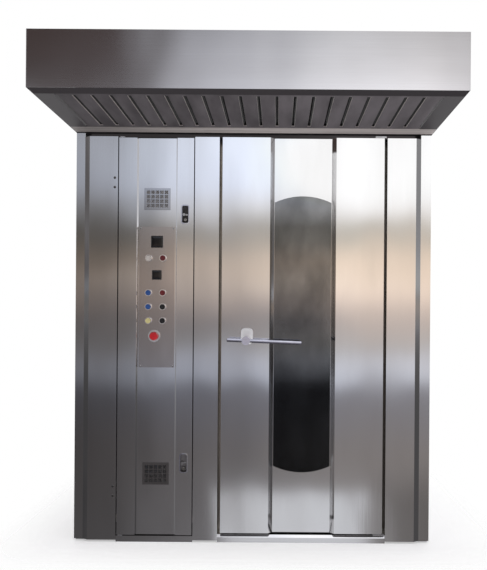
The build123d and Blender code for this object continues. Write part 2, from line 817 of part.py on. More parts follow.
# Handle: boss on the door, hub with the spindle, and the bar through the hub
hub_y = (y_front - handle_standoff - hub_length / 2, y_front - handle_standoff + hub_length / 2)
barrel_y = (hub_y[1] + boss_gap, y_front)
bar_direction = Vector(1, 0, 0).rotate(Axis.Y, handle_droop)
bar_plane = Plane(origin=(x_handle, y_front - handle_standoff, handle_height), z_dir=bar_direction)
with BuildPart() as handle_boss:
    with BuildSketch(upright(y_front)):
        with Locations((x_handle, handle_height + boss_rise)):
            RectangleRounded(boss_width, boss_height, boss_corner)
    extrude(amount=boss_plate, taper=boss_taper)
    bar_along_y([handle_place], barrel_y, boss_barrel_radius)
    bar_along_y([handle_place], barrel_y, spindle_radius + running_fit, Mode.SUBTRACT)
latch_y = span(keeper_y[1] + latch_gap, latch_thickness)
with BuildPart() as handle_hub:
    bar_along_y([handle_place], hub_y, hub_radius)
    bar_along_y([handle_place], (hub_y[1], latch_y[1]), spindle_radius)
    with BuildSketch(bar_plane.offset(-hub_length)):
        Circle(handle_bar_radius + running_fit)
    extrude(amount=2 * hub_length, mode=Mode.SUBTRACT)
with BuildPart() as handle_bar:
    with BuildSketch(bar_plane.offset(-handle_tail)):
        Circle(handle_bar_radius)
    extrude(amount=handle_tail + handle_arm)
    chamfer(handle_bar.edges().filter_by(GeomType.CIRCLE), length=handle_bar_radius / 4)

# Latch cam on the inner end of the spindle
with BuildPart() as latch_cam:
    with BuildSketch(upright(latch_y[1])):
        with Locations((x_handle, handle_height - latch_reach / 2)):
            SlotOverall(latch_reach + latch_width, latch_width, rotation=90)
        with Locations(handle_place):
            Circle(spindle_radius + running_fit, mode=Mode.SUBTRACT)
    extrude(amount=latch_thickness)

# Service door leaf: a folded pan with a shallow recess for the controls and cut-outs behind them
service_recess_x = span(service_x[0] + service_left_stile + service_bevel_width, service_recess_width)
y_service_recess = y_front + service_recess_depth
y_service_back = y_front + service_door_depth
plate_x_middle = middle(service_recess_x)
control_z = span(service_z[0] + control_plate_sill, control_plate_height)
vent_z = [span(service_z[0] + sill, vent_height) for sill in (lower_vent_sill, upper_vent_sill)]
vent_places = [(plate_x_middle, middle(z)) for z in vent_z]
latch_x = service_x[1] - latch_from_edge
latch_places = [(latch_x, lower_latch_height), (latch_x, upper_latch_height)]
bolt_y = span(y_front + latch_pan_depth + seam, bolt_depth)
with BuildPart() as service_door_leaf:
    with BuildSketch(Plane.XY.offset(service_z[0])):
        with BuildLine():
            Polyline(
                (service_x[0], y_service_back),
                (service_x[0], y_front),
                (service_recess_x[0] - service_bevel_width, y_front),
                (service_recess_x[0], y_service_recess),
                (service_recess_x[1], y_service_recess),
                (service_recess_x[1] + service_bevel_width, y_front),
                (service_x[1], y_front),
                (service_x[1], y_service_back),
                close=True,
            )
        make_face()
    extrude(amount=extent(service_z))
    offset(amount=-sheet, openings=service_door_leaf.faces().sort_by(Axis.Y)[-1])
    with BuildSketch(upright(y_service_recess + sheet)):
        with Locations((plate_x_middle, middle(control_z))):
            Rectangle(
                control_plate_width - 2 * control_window_lap, control_plate_height - 2 * control_window_lap
            )
        with Locations(*vent_places):
            Rectangle(vent_width - 2 * vent_lap, vent_height - 2 * vent_lap)
    extrude(amount=sheet, mode=Mode.SUBTRACT)
    with BuildSketch(upright(y_front + sheet)):
        with Locations(*latch_places):
            RectangleRounded(
                latch_pan_width - 2 * latch_pan_lap + 2 * seam,
                latch_pan_height - 2 * latch_pan_lap + 2 * seam,
                latch_pan_corner - latch_pan_lap + seam,
            )
    extrude(amount=sheet, mode=Mode.SUBTRACT)
    for place in latch_places:
        slot_z = (place[1] - bolt_height / 2 - free_fit, place[1] + bolt_height / 2 + free_fit)
        slot_depth = (bolt_y[0] - free_fit, bolt_y[1] + free_fit)
        block((service_x[1] - sheet, service_x[1]), slot_depth, slot_z, Mode.SUBTRACT)
    bar_along_z([service_pivot], service_z, service_pivot_radius + running_fit, Mode.SUBTRACT)

# Service door pivots: a pin in a block at the top and bottom of the hinge side
with BuildPart() as service_pivots:
    pin_block_x = (service_x[0] + sheet + seam, service_pivot[0] + service_pivot_inset)
    pin_block_y = (y_front + sheet + seam, y_service_back)
    block(pin_block_x, pin_block_y, span(service_z[0] + sheet, door_pivot_seat))
    block(pin_block_x, pin_block_y, (service_z[1] - sheet - door_pivot_seat, service_z[1] - sheet))
    bar_along_z([service_pivot], (service_lower_z[0] + seam, service_z[0] + sheet), service_pivot_radius)
    bar_along_z([service_pivot], (service_z[1] - sheet, service_upper_z[1] - seam), service_pivot_radius)

# Vent grilles: flat plates with a grid of square holes
with BuildPart() as vent_grilles:
    with BuildSketch(upright(y_service_recess)):
        with Locations(*vent_places):
            Rectangle(vent_width, vent_height)
            with GridLocations(vent_pitch, vent_pitch, vent_columns, vent_rows):
                Rectangle(vent_hole, vent_hole, mode=Mode.SUBTRACT)
    extrude(amount=sheet)

# Control plate with its displays, and the place of every control on it
y_plate = y_service_recess - control_plate_thickness
z_control = middle(control_z)


def control_place(column, row):
    """A place on the control plate, from its middle."""
    return (plate_x_middle + column, z_control + row)


display_places = [control_place(0, upper_display_row), control_place(0, lower_display_row)]
display_sizes = [upper_display_size, lower_display_size]
lamp_place = control_place(control_column_left, lamp_row)
button_places = {
    "start_button": control_place(control_column_right, lamp_row),
    "blue_button": control_place(control_column_left, first_row),
    "red_button": control_place(control_column_right, first_row),
    "steam_button": control_place(control_column_left, second_row),
    "lamp_button": control_place(control_column_left, third_row),
}
selector_places = {
    "upper_selector": control_place(control_column_right, second_row),
    "lower_selector": control_place(control_column_right, third_row),
}
stop_place = control_place(stop_column, stop_row)
small_places = [lamp_place, *button_places.values(), *selector_places.values()]
with BuildPart() as control_plate:
    with BuildSketch(upright(y_service_recess)):
        with Locations((plate_x_middle, z_control)):
            Rectangle(control_plate_width, control_plate_height)
        with Locations(*small_places, stop_place):
            Circle(barrel_radius + seam, mode=Mode.SUBTRACT)
        for place, size in zip(display_places, display_sizes):
            with Locations(place):
                Rectangle(size - 2 * display_proud, size - 2 * display_proud, mode=Mode.SUBTRACT)
    extrude(amount=control_plate_thickness)
with BuildPart() as displays:
    for (x, z), size in zip(display_places, display_sizes):
        body = size / 2 - display_proud - seam
        face = size / 2
        block((x - face, x + face), (y_plate - display_proud, y_plate), (z - face, z + face))
        block((x - body, x + body), span(y_plate, display_body_depth), (z - body, z + body))

# Collars: a ring before the plate, a barrel through it and the switch block behind it
stem_end = y_service_recess + stem_length
block_depth = span(y_service_recess + switch_block_gap, switch_block_depth)
collar_bore = button_cap_radius + free_fit
collar_radius = collar_bore + collar_wall
stem_bore_end = stem_end + stop_travel + cap_gap


def switch_back(place):
    """The barrel through the plate and the block behind it, bored for a stem."""
    x, z = place
    half = switch_block_size / 2
    bar_along_y([place], (y_plate, block_depth[1]), barrel_radius)
    block((x - half, x + half), block_depth, (z - half, z + half))


with BuildPart() as switch_collars:
    for place in small_places:
        bar_along_y([place], (y_plate - collar_height, y_plate), collar_radius)
        bar_along_y([place], (y_plate - collar_height, y_plate - collar_washer), collar_bore, Mode.SUBTRACT)
        switch_back(place)
    bar_along_y([stop_place], (y_plate - stop_collar_height, y_plate), stop_collar_radius)
    switch_back(stop_place)
    stem_bore_y = (y_plate - collar_height, stem_bore_end)
    bar_along_y([*small_places, stop_place], stem_bore_y, button_stem_radius + free_fit, Mode.SUBTRACT)
cap_back = y_plate - collar_washer - button_travel - cap_gap
with BuildPart() as pilot_lamp:
    bar_along_y([lamp_place], (cap_back - button_cap_height, y_plate - collar_washer), button_cap_radius)
    chamfer(pilot_lamp.edges().sort_by(Axis.Y)[0], length=button_cap_height / 3)


def round_cap(place, travel, radius, height, seat):
    """A round cap on a stem that can be pressed in by its travel."""
    back = seat - travel - cap_gap
    bar_along_y([place], (back - height, back), radius)
    bar_along_y([place], (back, stem_end), button_stem_radius)


buttons = {}
for name, place in button_places.items():
    with BuildPart() as button:
        round_cap(place, button_travel, button_cap_radius, button_cap_height, y_plate - collar_washer)
        chamfer(button.edges().sort_by(Axis.Y)[0], length=collar_washer / 2)
    buttons[name] = button
selectors = {}
for name, place in selector_places.items():
    with BuildPart() as selector:
        round_cap(place, button_travel, button_cap_radius, button_cap_height, y_plate - collar_washer)
        grip_y = (cap_back - button_cap_height - selector_grip_height, cap_back - button_cap_height)
        with BuildSketch(upright(grip_y[1])):
            with Locations(place):
                SlotOverall(selector_grip_length, selector_grip_width, rotation=90)
        extrude(amount=selector_grip_height)
    selectors[name] = selector
with BuildPart() as stop_button:
    round_cap(stop_place, stop_travel, stop_cap_radius, stop_cap_height, y_plate - stop_collar_height)
    chamfer(stop_button.edges().sort_by(Axis.Y)[0], length=stop_cap_height / 4)

# Latch pans: shallow cups in the service door's right stile, with a slot for the thumb piece
pan_back = y_front + latch_pan_depth
thumb_run = 2 * thumb_neck_radius + bolt_travel + 2 * free_fit
with BuildPart() as latch_pans:
    with BuildSketch(upright(y_front)):
        with Locations(*latch_places):
            RectangleRounded(latch_pan_width, latch_pan_height, latch_pan_corner)
    extrude(amount=sheet)
    cup_corner = latch_pan_corner - latch_pan_lap
    with BuildSketch(upright(pan_back)):
        with Locations(*latch_places):
            RectangleRounded(
                latch_pan_width - 2 * latch_pan_lap, latch_pan_height - 2 * latch_pan_lap, cup_corner
            )
    extrude(amount=latch_pan_depth)
    with BuildSketch(upright(pan_back - sheet)):
        with Locations(*latch_places):
            RectangleRounded(
                latch_pan_width - 2 * latch_pan_lap - 2 * sheet,
                latch_pan_height - 2 * latch_pan_lap - 2 * sheet,
                cup_corner - sheet,
            )
    extrude(amount=latch_pan_depth, mode=Mode.SUBTRACT)
    with BuildSketch(upright(pan_back)):
        with Locations(*latch_places):
            SlotOverall(thumb_run, 2 * (thumb_neck_radius + free_fit))
    extrude(amount=sheet, mode=Mode.SUBTRACT)

# Latch bolts: a thumb piece in the pan, its neck and the bolt that slides behind the centre panel
latch_bolts = {}
for name, place in zip(("lower_latch", "upper_latch"), latch_places):
    with BuildPart() as bolt:
        thumb_place = (place[0] - bolt_travel / 2, place[1])
        thumb_y = (y_front + thumb_gap, pan_back - sheet - thumb_gap)
        bar_along_y([thumb_place], thumb_y, thumb_radius)
        bar_along_y([thumb_place], (thumb_y[1], bolt_y[0]), thumb_neck_radius)
        bolt_x = (thumb_place[0] - bolt_grip, service_x[1] - bolt_rest_gap)
        block(bolt_x, bolt_y, (place[1] - bolt_height / 2, place[1] + bolt_height / 2))
    latch_bolts[name] = bolt

# Heat exchanger: combustion drum on saddles, lower header, upright tubes, upper header and flue pipe
drum_y = span(bulkhead_y[1] + drum_gap, drum_length)
exchanger_x = (heater_x - exchanger_width / 2, heater_x + exchanger_width / 2)
exchanger_y = (flue_place[1] - exchanger_depth / 2, flue_place[1] + exchanger_depth / 2)
lower_header_z = span(drum_height + drum_radius - exchanger_header / 2, exchanger_header)
exchanger_top = fan_place[1] - fan_radius - exchanger_fan_gap
upper_header_z = (exchanger_top - exchanger_header, exchanger_top)
tube_z = (lower_header_z[1], upper_header_z[0])
with BuildPart() as heat_exchanger:
    bar_along_y([burner_place], drum_y, drum_radius)
    bar_along_y([burner_place], span(drum_y[0], drum_gap), burner_radius + free_fit, Mode.SUBTRACT)
    for start in (drum_y[0], drum_y[1] - saddle_thickness):
        saddle_x = span(heater_x - saddle_width / 2, saddle_width)
        block(saddle_x, span(start, saddle_thickness), (floor_z, drum_height - drum_radius / 2))
    block(exchanger_x, exchanger_y, lower_header_z)
    block(exchanger_x, exchanger_y, upper_header_z)
    with BuildSketch(Plane.XY.offset(tube_z[0])):
        with Locations(flue_place):
            with GridLocations(
                exchanger_width / exchanger_tube_columns,
                exchanger_depth / exchanger_tube_rows,
                exchanger_tube_columns,
                exchanger_tube_rows,
            ):
                Circle(exchanger_tube_radius)
    extrude(amount=extent(tube_z))
    bar_along_z([flue_place], (upper_header_z[1], body_height - seam), flue_radius)

# Burner on the front of the bulkhead, its nozzle reaching into the drum
burner_y = (bulkhead_y[0] - fan_flange_thickness - burner_body_depth, bulkhead_y[0] - fan_flange_thickness)
with BuildPart() as burner:
    bar_along_y([burner_place], (bulkhead_y[0], drum_y[0] + drum_gap / 2), burner_radius)
    bar_along_y([burner_place], (burner_y[1], bulkhead_y[0]), burner_flange)
    with BuildSketch(upright(burner_y[1])):
        with Locations(burner_place):
            RectangleRounded(burner_body_width, burner_body_height, burner_radius)
    extrude(amount=burner_body_depth)
    chamfer(burner.faces().sort_by(Axis.Y)[0].edges(), length=fan_flange_thickness)

# Circulation fan: motor before the bulkhead, bladed wheel behind it
fan_motor_y = (bulkhead_y[0] - fan_flange_thickness - fan_motor_length, bulkhead_y[0])
fan_bore_y = (bulkhead_y[0] - fan_shaft_grip, bulkhead_y[0])
wheel_y = span(bulkhead_y[1] + fan_gap, fan_width)
with BuildPart() as circulation_motor:
    bar_along_y([fan_place], fan_motor_y, fan_motor_radius)
    bar_along_y([fan_place], (bulkhead_y[0] - fan_flange_thickness, bulkhead_y[0]), fan_motor_flange)
    bar_along_y([fan_place], fan_bore_y, fan_shaft_radius + running_fit, Mode.SUBTRACT)
with BuildPart() as circulation_fan:
    bar_along_y([fan_place], (fan_bore_y[0] + seam, wheel_y[1]), fan_shaft_radius)
    bar_along_y([fan_place], wheel_y, fan_hub_radius)
    bar_along_y([fan_place], span(wheel_y[0], blade_thickness), fan_radius)
    blade_end = fan_radius - blade_thickness
    blade_reach = blade_end - fan_hub_radius / 2
    with Locations(Location((fan_place[0], wheel_y[0], fan_place[1]), (-90, 0, 0))):
        with PolarLocations(blade_end - blade_reach / 2, fan_blades):
            with Locations((0, 0, fan_width / 2)):
                Box(blade_reach, blade_thickness, fan_width)

# Steam generator: troughs on two posts, behind the duct wall
steam_x = (chamber_x[0] - sheet - steam_post - steam_trough_width, chamber_x[0] - sheet - steam_post)
steam_y = span(slot_y - steam_trough_length / 2, steam_trough_length)
with BuildPart() as steam_generator:
    for level in range(steam_troughs):
        trough_z = span(steam_foot + level * steam_pitch, steam_trough_height)
        block(steam_x, steam_y, trough_z)
        hollow_x = (steam_x[0] + steam_trough_wall, steam_x[1] - steam_trough_wall)
        hollow_y = (steam_y[0] + steam_trough_wall, steam_y[1] - steam_trough_wall)
        block(hollow_x, hollow_y, (trough_z[0] + steam_trough_wall, trough_z[1]), Mode.SUBTRACT)
    post_z = (floor_z, steam_foot + steam_troughs * steam_pitch)
    for start in (steam_y[0] - steam_post, steam_y[1]):
        block(steam_x, span(start, steam_post), post_z)

# Electrical panel on the left side sheet, with its contactors
panel_plate_y = (bulkhead_y[0] - seam - panel_plate_width, bulkhead_y[0] - seam)
panel_plate_z = span(panel_plate_sill, panel_plate_height)
with BuildPart() as electrical_panel:
    block(span(inside_x[0], floor_plate), panel_plate_y, panel_plate_z)
    contactor_x = inside_x[0] + floor_plate + contactor_size / 2
    with Locations((contactor_x, middle(panel_plate_y), middle(panel_plate_z))):
        for place in range(contactors):
            rise = (place - (contactors - 1) / 2) * panel_plate_height / contactors
            with Locations((0, 0, rise)):
                Box(contactor_size, panel_plate_width - contactor_size, contactor_size)

# Rack drive: gearbox and motor on the roof, with a sleeve down to the chamber's ceiling
drive_plate_z = span(body_height, drive_plate_thickness)
gearbox_z = span(drive_plate_z[1], gearbox_height)
rack_bore_z = (ceiling_z, drive_plate_z[1] + rack_shaft_grip)
with BuildPart() as rack_drive:
    for size, z in ((drive_plate, drive_plate_z), (gearbox_size, gearbox_z)):
        half = size / 2
        block((door_centre - half, door_centre + half), (shaft_y - half, shaft_y + half), z)
    fillet(rack_drive.edges().filter_by(Axis.Z), radius=drive_plate_thickness)
    bar_along_z([shaft_place], (ceiling_z, body_height), sleeve_radius)
    with BuildSketch(Plane.YZ.offset(door_centre + gearbox_size / 2)):
        with Locations((shaft_y, middle(gearbox_z))):
            Circle(drive_motor_radius)
    extrude(amount=drive_motor_length)
    bar_along_z([shaft_place], rack_bore_z, rack_shaft_radius + rack_shaft_play, Mode.SUBTRACT)

# Rack hook: shaft with a cross beam whose ends take the rack's top rails
beam_z = (ceiling_z - rack_beam_drop - rack_beam_thickness, ceiling_z - rack_beam_drop)
with BuildPart() as rack_hook:
    bar_along_z([shaft_place], (beam_z[0], rack_bore_z[1] - seam), rack_shaft_radius)
    with BuildSketch(upright(shaft_y + rack_beam_width / 2)):
        for side in (1, -1):
            end = side * rack_beam_reach
            toe = side * (rack_beam_reach - rack_hook_toe)
            inner = side * (rack_beam_reach - rack_beam_thickness)
            foot_z = beam_z[1] - rack_hook_drop
            with BuildLine():
                Polyline(
                    (door_centre, beam_z[1]),
                    (door_centre + end, beam_z[1]),
                    (door_centre + end, foot_z),
                    (door_centre + toe, foot_z),
                    (door_centre + toe, foot_z + rack_beam_thickness),
                    (door_centre + inner, foot_z + rack_beam_thickness),
                    (door_centre + inner, beam_z[0]),
                    (door_centre, beam_z[0]),
                    close=True,
                )
            make_face()
    extrude(amount=rack_beam_width)

# Flue spigot on the roof, and the cable gland, gas pipe and water pipe beside it
flue_z = span(body_height, flue_length)
with BuildPart() as flue_spigot:
    bar_along_z([flue_place], span(body_height, duct_flange_thickness), flue_radius + duct_flange)
    bar_along_z([flue_place], flue_z, flue_radius)
    bar_along_z([flue_place], flue_z, flue_radius - flue_wall, Mode.SUBTRACT)
inlet_radii = (gland_radius, gas_pipe_radius, water_pipe_radius)
with BuildPart() as service_inlets:
    for x, radius in zip(inlet_x, inlet_radii):
        bar_along_z([(x, inlet_y)], span(body_height, inlet_collar_height), inlet_collar_ratio * radius)
        inlet_z = span(body_height, inlet_height)
        bar_along_z([(x, inlet_y)], inlet_z, radius)
        bar_along_z([(x, inlet_y)], inlet_z, inlet_bore_ratio * radius, Mode.SUBTRACT)

pieces = {
    "base_rails": base_rails,
    "threshold": threshold,
    "chamber_liner": chamber_liner,
    "chamber_duct_wall": chamber_duct_wall,
    "insulation_slabs": insulation_slabs,
    "door_frame": door_frame,
    "side_panels": side_panels,
    "rear_panel": rear_panel,
    "roof_panel": roof_panel,
    "front_panel_left": front_panel_left,
    "front_panel_centre": front_panel_centre,
    "front_panel_right": front_panel_right,
    "front_header": front_header,
    "kick_plate": kick_plate,
    "compartment_bulkhead": compartment_bulkhead,
    "hood_fascia": hood_fascia,
    "hood_box": hood_box,
    "hood_gutter": hood_gutter,
    "baffle_filters": baffle_filters,
    "hood_fan_housing": hood_fan_housing,
    "hood_impeller": hood_impeller,
    "hinge_brackets": hinge_brackets,
    "heat_exchanger": heat_exchanger,
    "burner": burner,
    "circulation_motor": circulation_motor,
    "circulation_fan": circulation_fan,
    "steam_generator": steam_generator,
    "electrical_panel": electrical_panel,
    "rack_drive": rack_drive,
    "rack_hook": rack_hook,
    "flue_spigot": flue_spigot,
    "service_inlets": service_inlets,
    "door_leaf": door_leaf,
    "door_inner_panel": door_inner_panel,
    "window_panes": window_panes,
    "door_insulation": door_insulation,
    "door_gasket": door_gasket,
    "door_pivots": door_pivots,
    "handle_boss": handle_boss,
    "handle_hub": handle_hub,
    "handle_bar": handle_bar,
    "latch_cam": latch_cam,
    "service_door_leaf": service_door_leaf,
    "service_pivots": service_pivots,
    "vent_grilles": vent_grilles,
    "control_plate": control_plate,
    "displays": displays,
    "switch_collars": switch_collars,
    "pilot_lamp": pilot_lamp,
    "stop_button": stop_button,
    "latch_pans": latch_pans,
    **buttons,
    **selectors,
    **latch_bolts,
}
for name, piece in pieces.items():
    piece.part.label = name
    export_step(piece.part, f"parts/{name}.step")
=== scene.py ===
"""Looks of the bakery rack oven: finishes for every CAD piece, the small pieces that only show, the
stage and the camera."""

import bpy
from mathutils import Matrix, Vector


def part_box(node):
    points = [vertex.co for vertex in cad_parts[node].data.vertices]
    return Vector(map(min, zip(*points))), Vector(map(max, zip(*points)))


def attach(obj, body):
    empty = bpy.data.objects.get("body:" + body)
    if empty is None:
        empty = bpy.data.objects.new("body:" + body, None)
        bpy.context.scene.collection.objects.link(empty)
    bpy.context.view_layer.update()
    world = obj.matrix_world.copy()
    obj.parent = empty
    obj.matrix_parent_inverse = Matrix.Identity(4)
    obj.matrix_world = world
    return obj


bl_info = {
    "name": "Rack Oven",
    "version": (1, 0, 0),
    "blender": (4, 5, 0),
    "location": "3D View > Sidebar > Rack Oven",
    "description": "Finishes, small pieces and studio for a bakery rack oven",
    "category": "Object",
}

import math

import bpy
import numpy as np
from bpy.props import FloatProperty, FloatVectorProperty, PointerProperty

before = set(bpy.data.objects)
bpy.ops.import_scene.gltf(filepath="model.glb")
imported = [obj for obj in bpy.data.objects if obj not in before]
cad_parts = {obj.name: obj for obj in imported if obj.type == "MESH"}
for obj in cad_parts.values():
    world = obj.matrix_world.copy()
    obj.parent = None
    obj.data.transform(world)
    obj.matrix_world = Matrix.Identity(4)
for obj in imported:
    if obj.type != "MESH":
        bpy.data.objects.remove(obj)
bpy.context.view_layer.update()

# Size of the picture, in pixels
IMAGE_WIDTH, IMAGE_HEIGHT = 487, 570

# Fineness of a brushed grain along x, y and z: streaks run along an axis that is coarser than the last value
UPRIGHT_GRAIN = (260.0, 260.0, 2.5)
LEVEL_GRAIN = (2.5, 260.0, 260.0)
WIRE_GRAIN = (260.0, 260.0, 260.0)
HANDLE_GRAIN = (90.0, 90.0, 90.0)
RING_GRAIN = (120.0, 120.0, 120.0)
COARSE_GRAIN = 10.0

# Share of a finish's colour that is left at its worn places
WORN_SHARE = {
    "painted_shade": 0.8, "plate": 0.88, "vent": 0.8, "liner": 0.6, "chrome": 0.85, "hub": 0.9, "casting": 0.9,
    "glass": 0.8, "moulding": 0.8,
}

# Share of the painted shade's colour on the lower vent and on the mesh behind it, painted darker than the
# upper vent
VENT_SHADE_SHARE = {"vent": 0.75, "mesh": 0.55}

# Share of the hood's painted shade colour inside the hood, on its ledges and on the filters, where the shade
# is deep, where it is light, and where they are hidden above their lower edges
HOOD_SHADE_SHARE = {"hollow": 0.45, "ledges": 0.5, "deep_shade": 0.6, "light_shade": 1.35, "hidden": 0.06}

# Share of the gutter's colour at its left end, where it is painted darker as shade
GUTTER_SHADE_SHARE = 0.45

# Folded edges of the front pieces that are painted dark as shade in the gaps: the low (0) or the high (1)
# side
SHADED_EDGE_SIDES = {
    "front_panel_left": (1,),
    "front_panel_centre": (0,),
    "front_panel_right": (),
    "door_leaf": (0, 1),
    "service_door_leaf": (0, 1),
}

# Share of the metal's colour that is left on the folds and jambs of the front, where they are painted darker
# as shade
FOLD_SHADE_SHARE = {
    "door_fold": 0.6, "service_fold": 0.4, "latch_jamb": 0.22, "hinge_jamb": 0.6, "left_corner": 0.52,
    "right_corner": 0.36,
}

# Light of the room before the oven, the most that a direction may give and the least y that counts as ahead
ROOM_LIGHT, ROOM_CAP, LEAST_AHEAD = 2.1, 1.48, 0.05

# Range of y over which the room before the oven gives way to the backdrop behind it
BACKDROP_START, BACKDROP_END = 0.15, 0.45

# Soft bands of the room, as stops (place, colour) by rise = z / ahead, by aside = x / ahead, and behind by z
BAND_REACH, BACKDROP_REACH = 0.5, 1.0
HEIGHT_BANDS = (
    (-0.48, (0.125, 0.12, 0.13)),
    (-0.38, (0.16, 0.155, 0.16)),
    (-0.20, (0.135, 0.125, 0.125)),
    (-0.112, (0.13, 0.13, 0.15)),
    (-0.094, (0.38, 0.40, 0.46)),
    (-0.070, (0.40, 0.41, 0.46)),
    (-0.045, (0.28, 0.27, 0.27)),
    (-0.012, (0.23, 0.21, 0.21)),
    (0.015, (0.40, 0.34, 0.31)),
    (0.045, (0.58, 0.49, 0.42)),
    (0.075, (0.60, 0.49, 0.40)),
    (0.105, (0.36, 0.33, 0.29)),
    (0.125, (0.32, 0.30, 0.27)),
    (0.150, (0.70, 0.70, 0.72)),
    (0.180, (0.83, 0.89, 1.03)),
    (0.250, (0.88, 0.94, 1.06)),
    (0.310, (0.57, 0.57, 0.61)),
    (0.420, (0.34, 0.34, 0.36)),
)
SIDE_BANDS = (
    (-0.42, (0.20, 0.195, 0.19)),
    (-0.27, (0.27, 0.265, 0.265)),
    (-0.21, (0.36, 0.36, 0.365)),
    (-0.15, (0.52, 0.52, 0.53)),
    (-0.05, (0.66, 0.66, 0.67)),
    (0.09, (1.0, 0.99, 0.97)),
    (0.22, (1.0, 0.97, 0.93)),
    (0.36, (0.55, 0.53, 0.51)),
)
BACKDROP_BANDS = (
    (-0.7, (0.62, 0.62, 0.63)),
    (-0.1, (0.92, 0.92, 0.92)),
    (0.2, (1.0, 1.0, 1.0)),
    (0.8, (0.74, 0.745, 0.76)),
)

# Regions of the room: products of ramps (ratio, nought at, one at), where width is aside without its sign
ROOM_REGIONS = {
    "dark_corner": (("aside", -0.13, -0.24), ("rise", 0.27, 0.34)),
    "dark_side": (("rise", 0.045, 0.075), ("rise", 0.19, 0.14), ("aside", -0.12, -0.22)),
    "dark_foot": (("aside", 0.13, 0.17), ("rise", -0.20, -0.28)),
    "lit_strip": (
        ("aside", -0.083, -0.075), ("aside", 0.138, 0.128), ("rise", -0.254, -0.266), ("rise", -0.44, -0.37),
    ),
    "warm_side": (("rise", -0.06, -0.01), ("rise", 0.07, 0.03), ("aside", 0.04, 0.10)),
    "flank": (("width", 0.5, 1.0), ("width", 8.0, 4.0)),
    "flank_top": (("width", 0.5, 1.0), ("width", 8.0, 4.0), ("rise", -0.7, 0.5)),
    "overhead": (("rise", 0.45, 0.9), ("width", 1.0, 0.5)),
}

# Share of the room's light that a region takes away, the light that it adds, and the colour of the lit strip
ROOM_SHADES = {"dark_corner": 0.75, "dark_side": 0.42, "dark_foot": 0.40}
ROOM_GLOWS = {
    "dark_corner": (0.03, 0.012, 0.008),
    "warm_side": (0.24, 0.18, 0.14),
    "flank": (0.19, 0.19, 0.195),
    "flank_top": (0.42, 0.43, 0.45),
    "overhead": (0.75, 0.77, 0.82),
}
STRIP_COLOUR = (0.78, 0.79, 0.83)
WHITE = (1.0, 1.0, 1.0)


def colour(name, description, default):
    """A colour that a user may change."""
    return FloatVectorProperty(
        name=name, description=description, default=default, size=3, subtype="COLOR", min=0.0, max=1.0
    )


def length(name, description, default):
    """A length in metres that a user may change."""
    return FloatProperty(
        name=name, description=description, default=default, unit="LENGTH", subtype="DISTANCE"
    )


def pixels(name, description, default):
    """A place or length in the picture that a user may change."""
    return FloatProperty(name=name, description=description, default=default, subtype="PIXEL")


class OvenFinish(bpy.types.PropertyGroup):
    """Colours and gloss of the oven's materials."""

    steel: colour("Steel", "Colour of the brushed stainless sheet", (0.70, 0.70, 0.705))
    steel_shade: colour("Steel shade", "Colour of the sheet's handled and worn places", (0.62, 0.615, 0.615))
    steel_roughness: FloatProperty(
        name="Steel roughness", description="Blur of the sheet's reflections", default=0.085, min=0.0,
        max=1.0, subtype="FACTOR",
    )
    # Painted shade: the dark colour painted in the gaps of the front, above the doors, on the header and on
    # the lower vent
    painted_shade: colour("Soil", "Colour of the soiled edges in the gaps of the front", (0.07, 0.065, 0.066))
    plate: colour("Plate", "Colour of the satin control plate", (0.60, 0.565, 0.555))
    # Painted shade: the dark colour painted under and inside the hood
    hood_shade: colour("Hood film", "Colour of the cooked-on film under the hood", (0.17, 0.155, 0.165))
    # The gutter's own colour, also painted on the filters' lower edges as a highlight
    gutter_colour: colour("Gutter film", "Colour of the wiped gutter under the hood", (0.72, 0.66, 0.64))
    vent: colour("Vent", "Colour of the vents", (0.46, 0.46, 0.475))
    # Painted shade in the latches' hollows
    cup: colour("Cup", "Colour of the latches' hollows", (0.11, 0.105, 0.11))
    liner: colour("Liner", "Colour of the heat-browned chamber sheet", (0.42, 0.38, 0.33))
    chrome: colour("Chrome", "Colour of the polished handle bar", (0.52, 0.52, 0.60))
    hub: colour("Hub", "Colour of the handle's bright hub", (0.806, 0.806, 0.93))
    casting: colour("Casting", "Colour of the satin handle boss", (0.95, 0.95, 0.97))
    glass: colour("Glass", "Tint of the window", (0.10, 0.11, 0.13))
    red: colour("Red", "Colour of the stop button", (0.62, 0.02, 0.03))
    dark_red: colour("Dark red", "Colour of the two dark red buttons", (0.16, 0.015, 0.02))
    blue: colour("Blue", "Colour of the two blue buttons", (0.03, 0.10, 0.34))
    yellow: colour("Yellow", "Colour of the cream yellow button", (0.72, 0.64, 0.30))


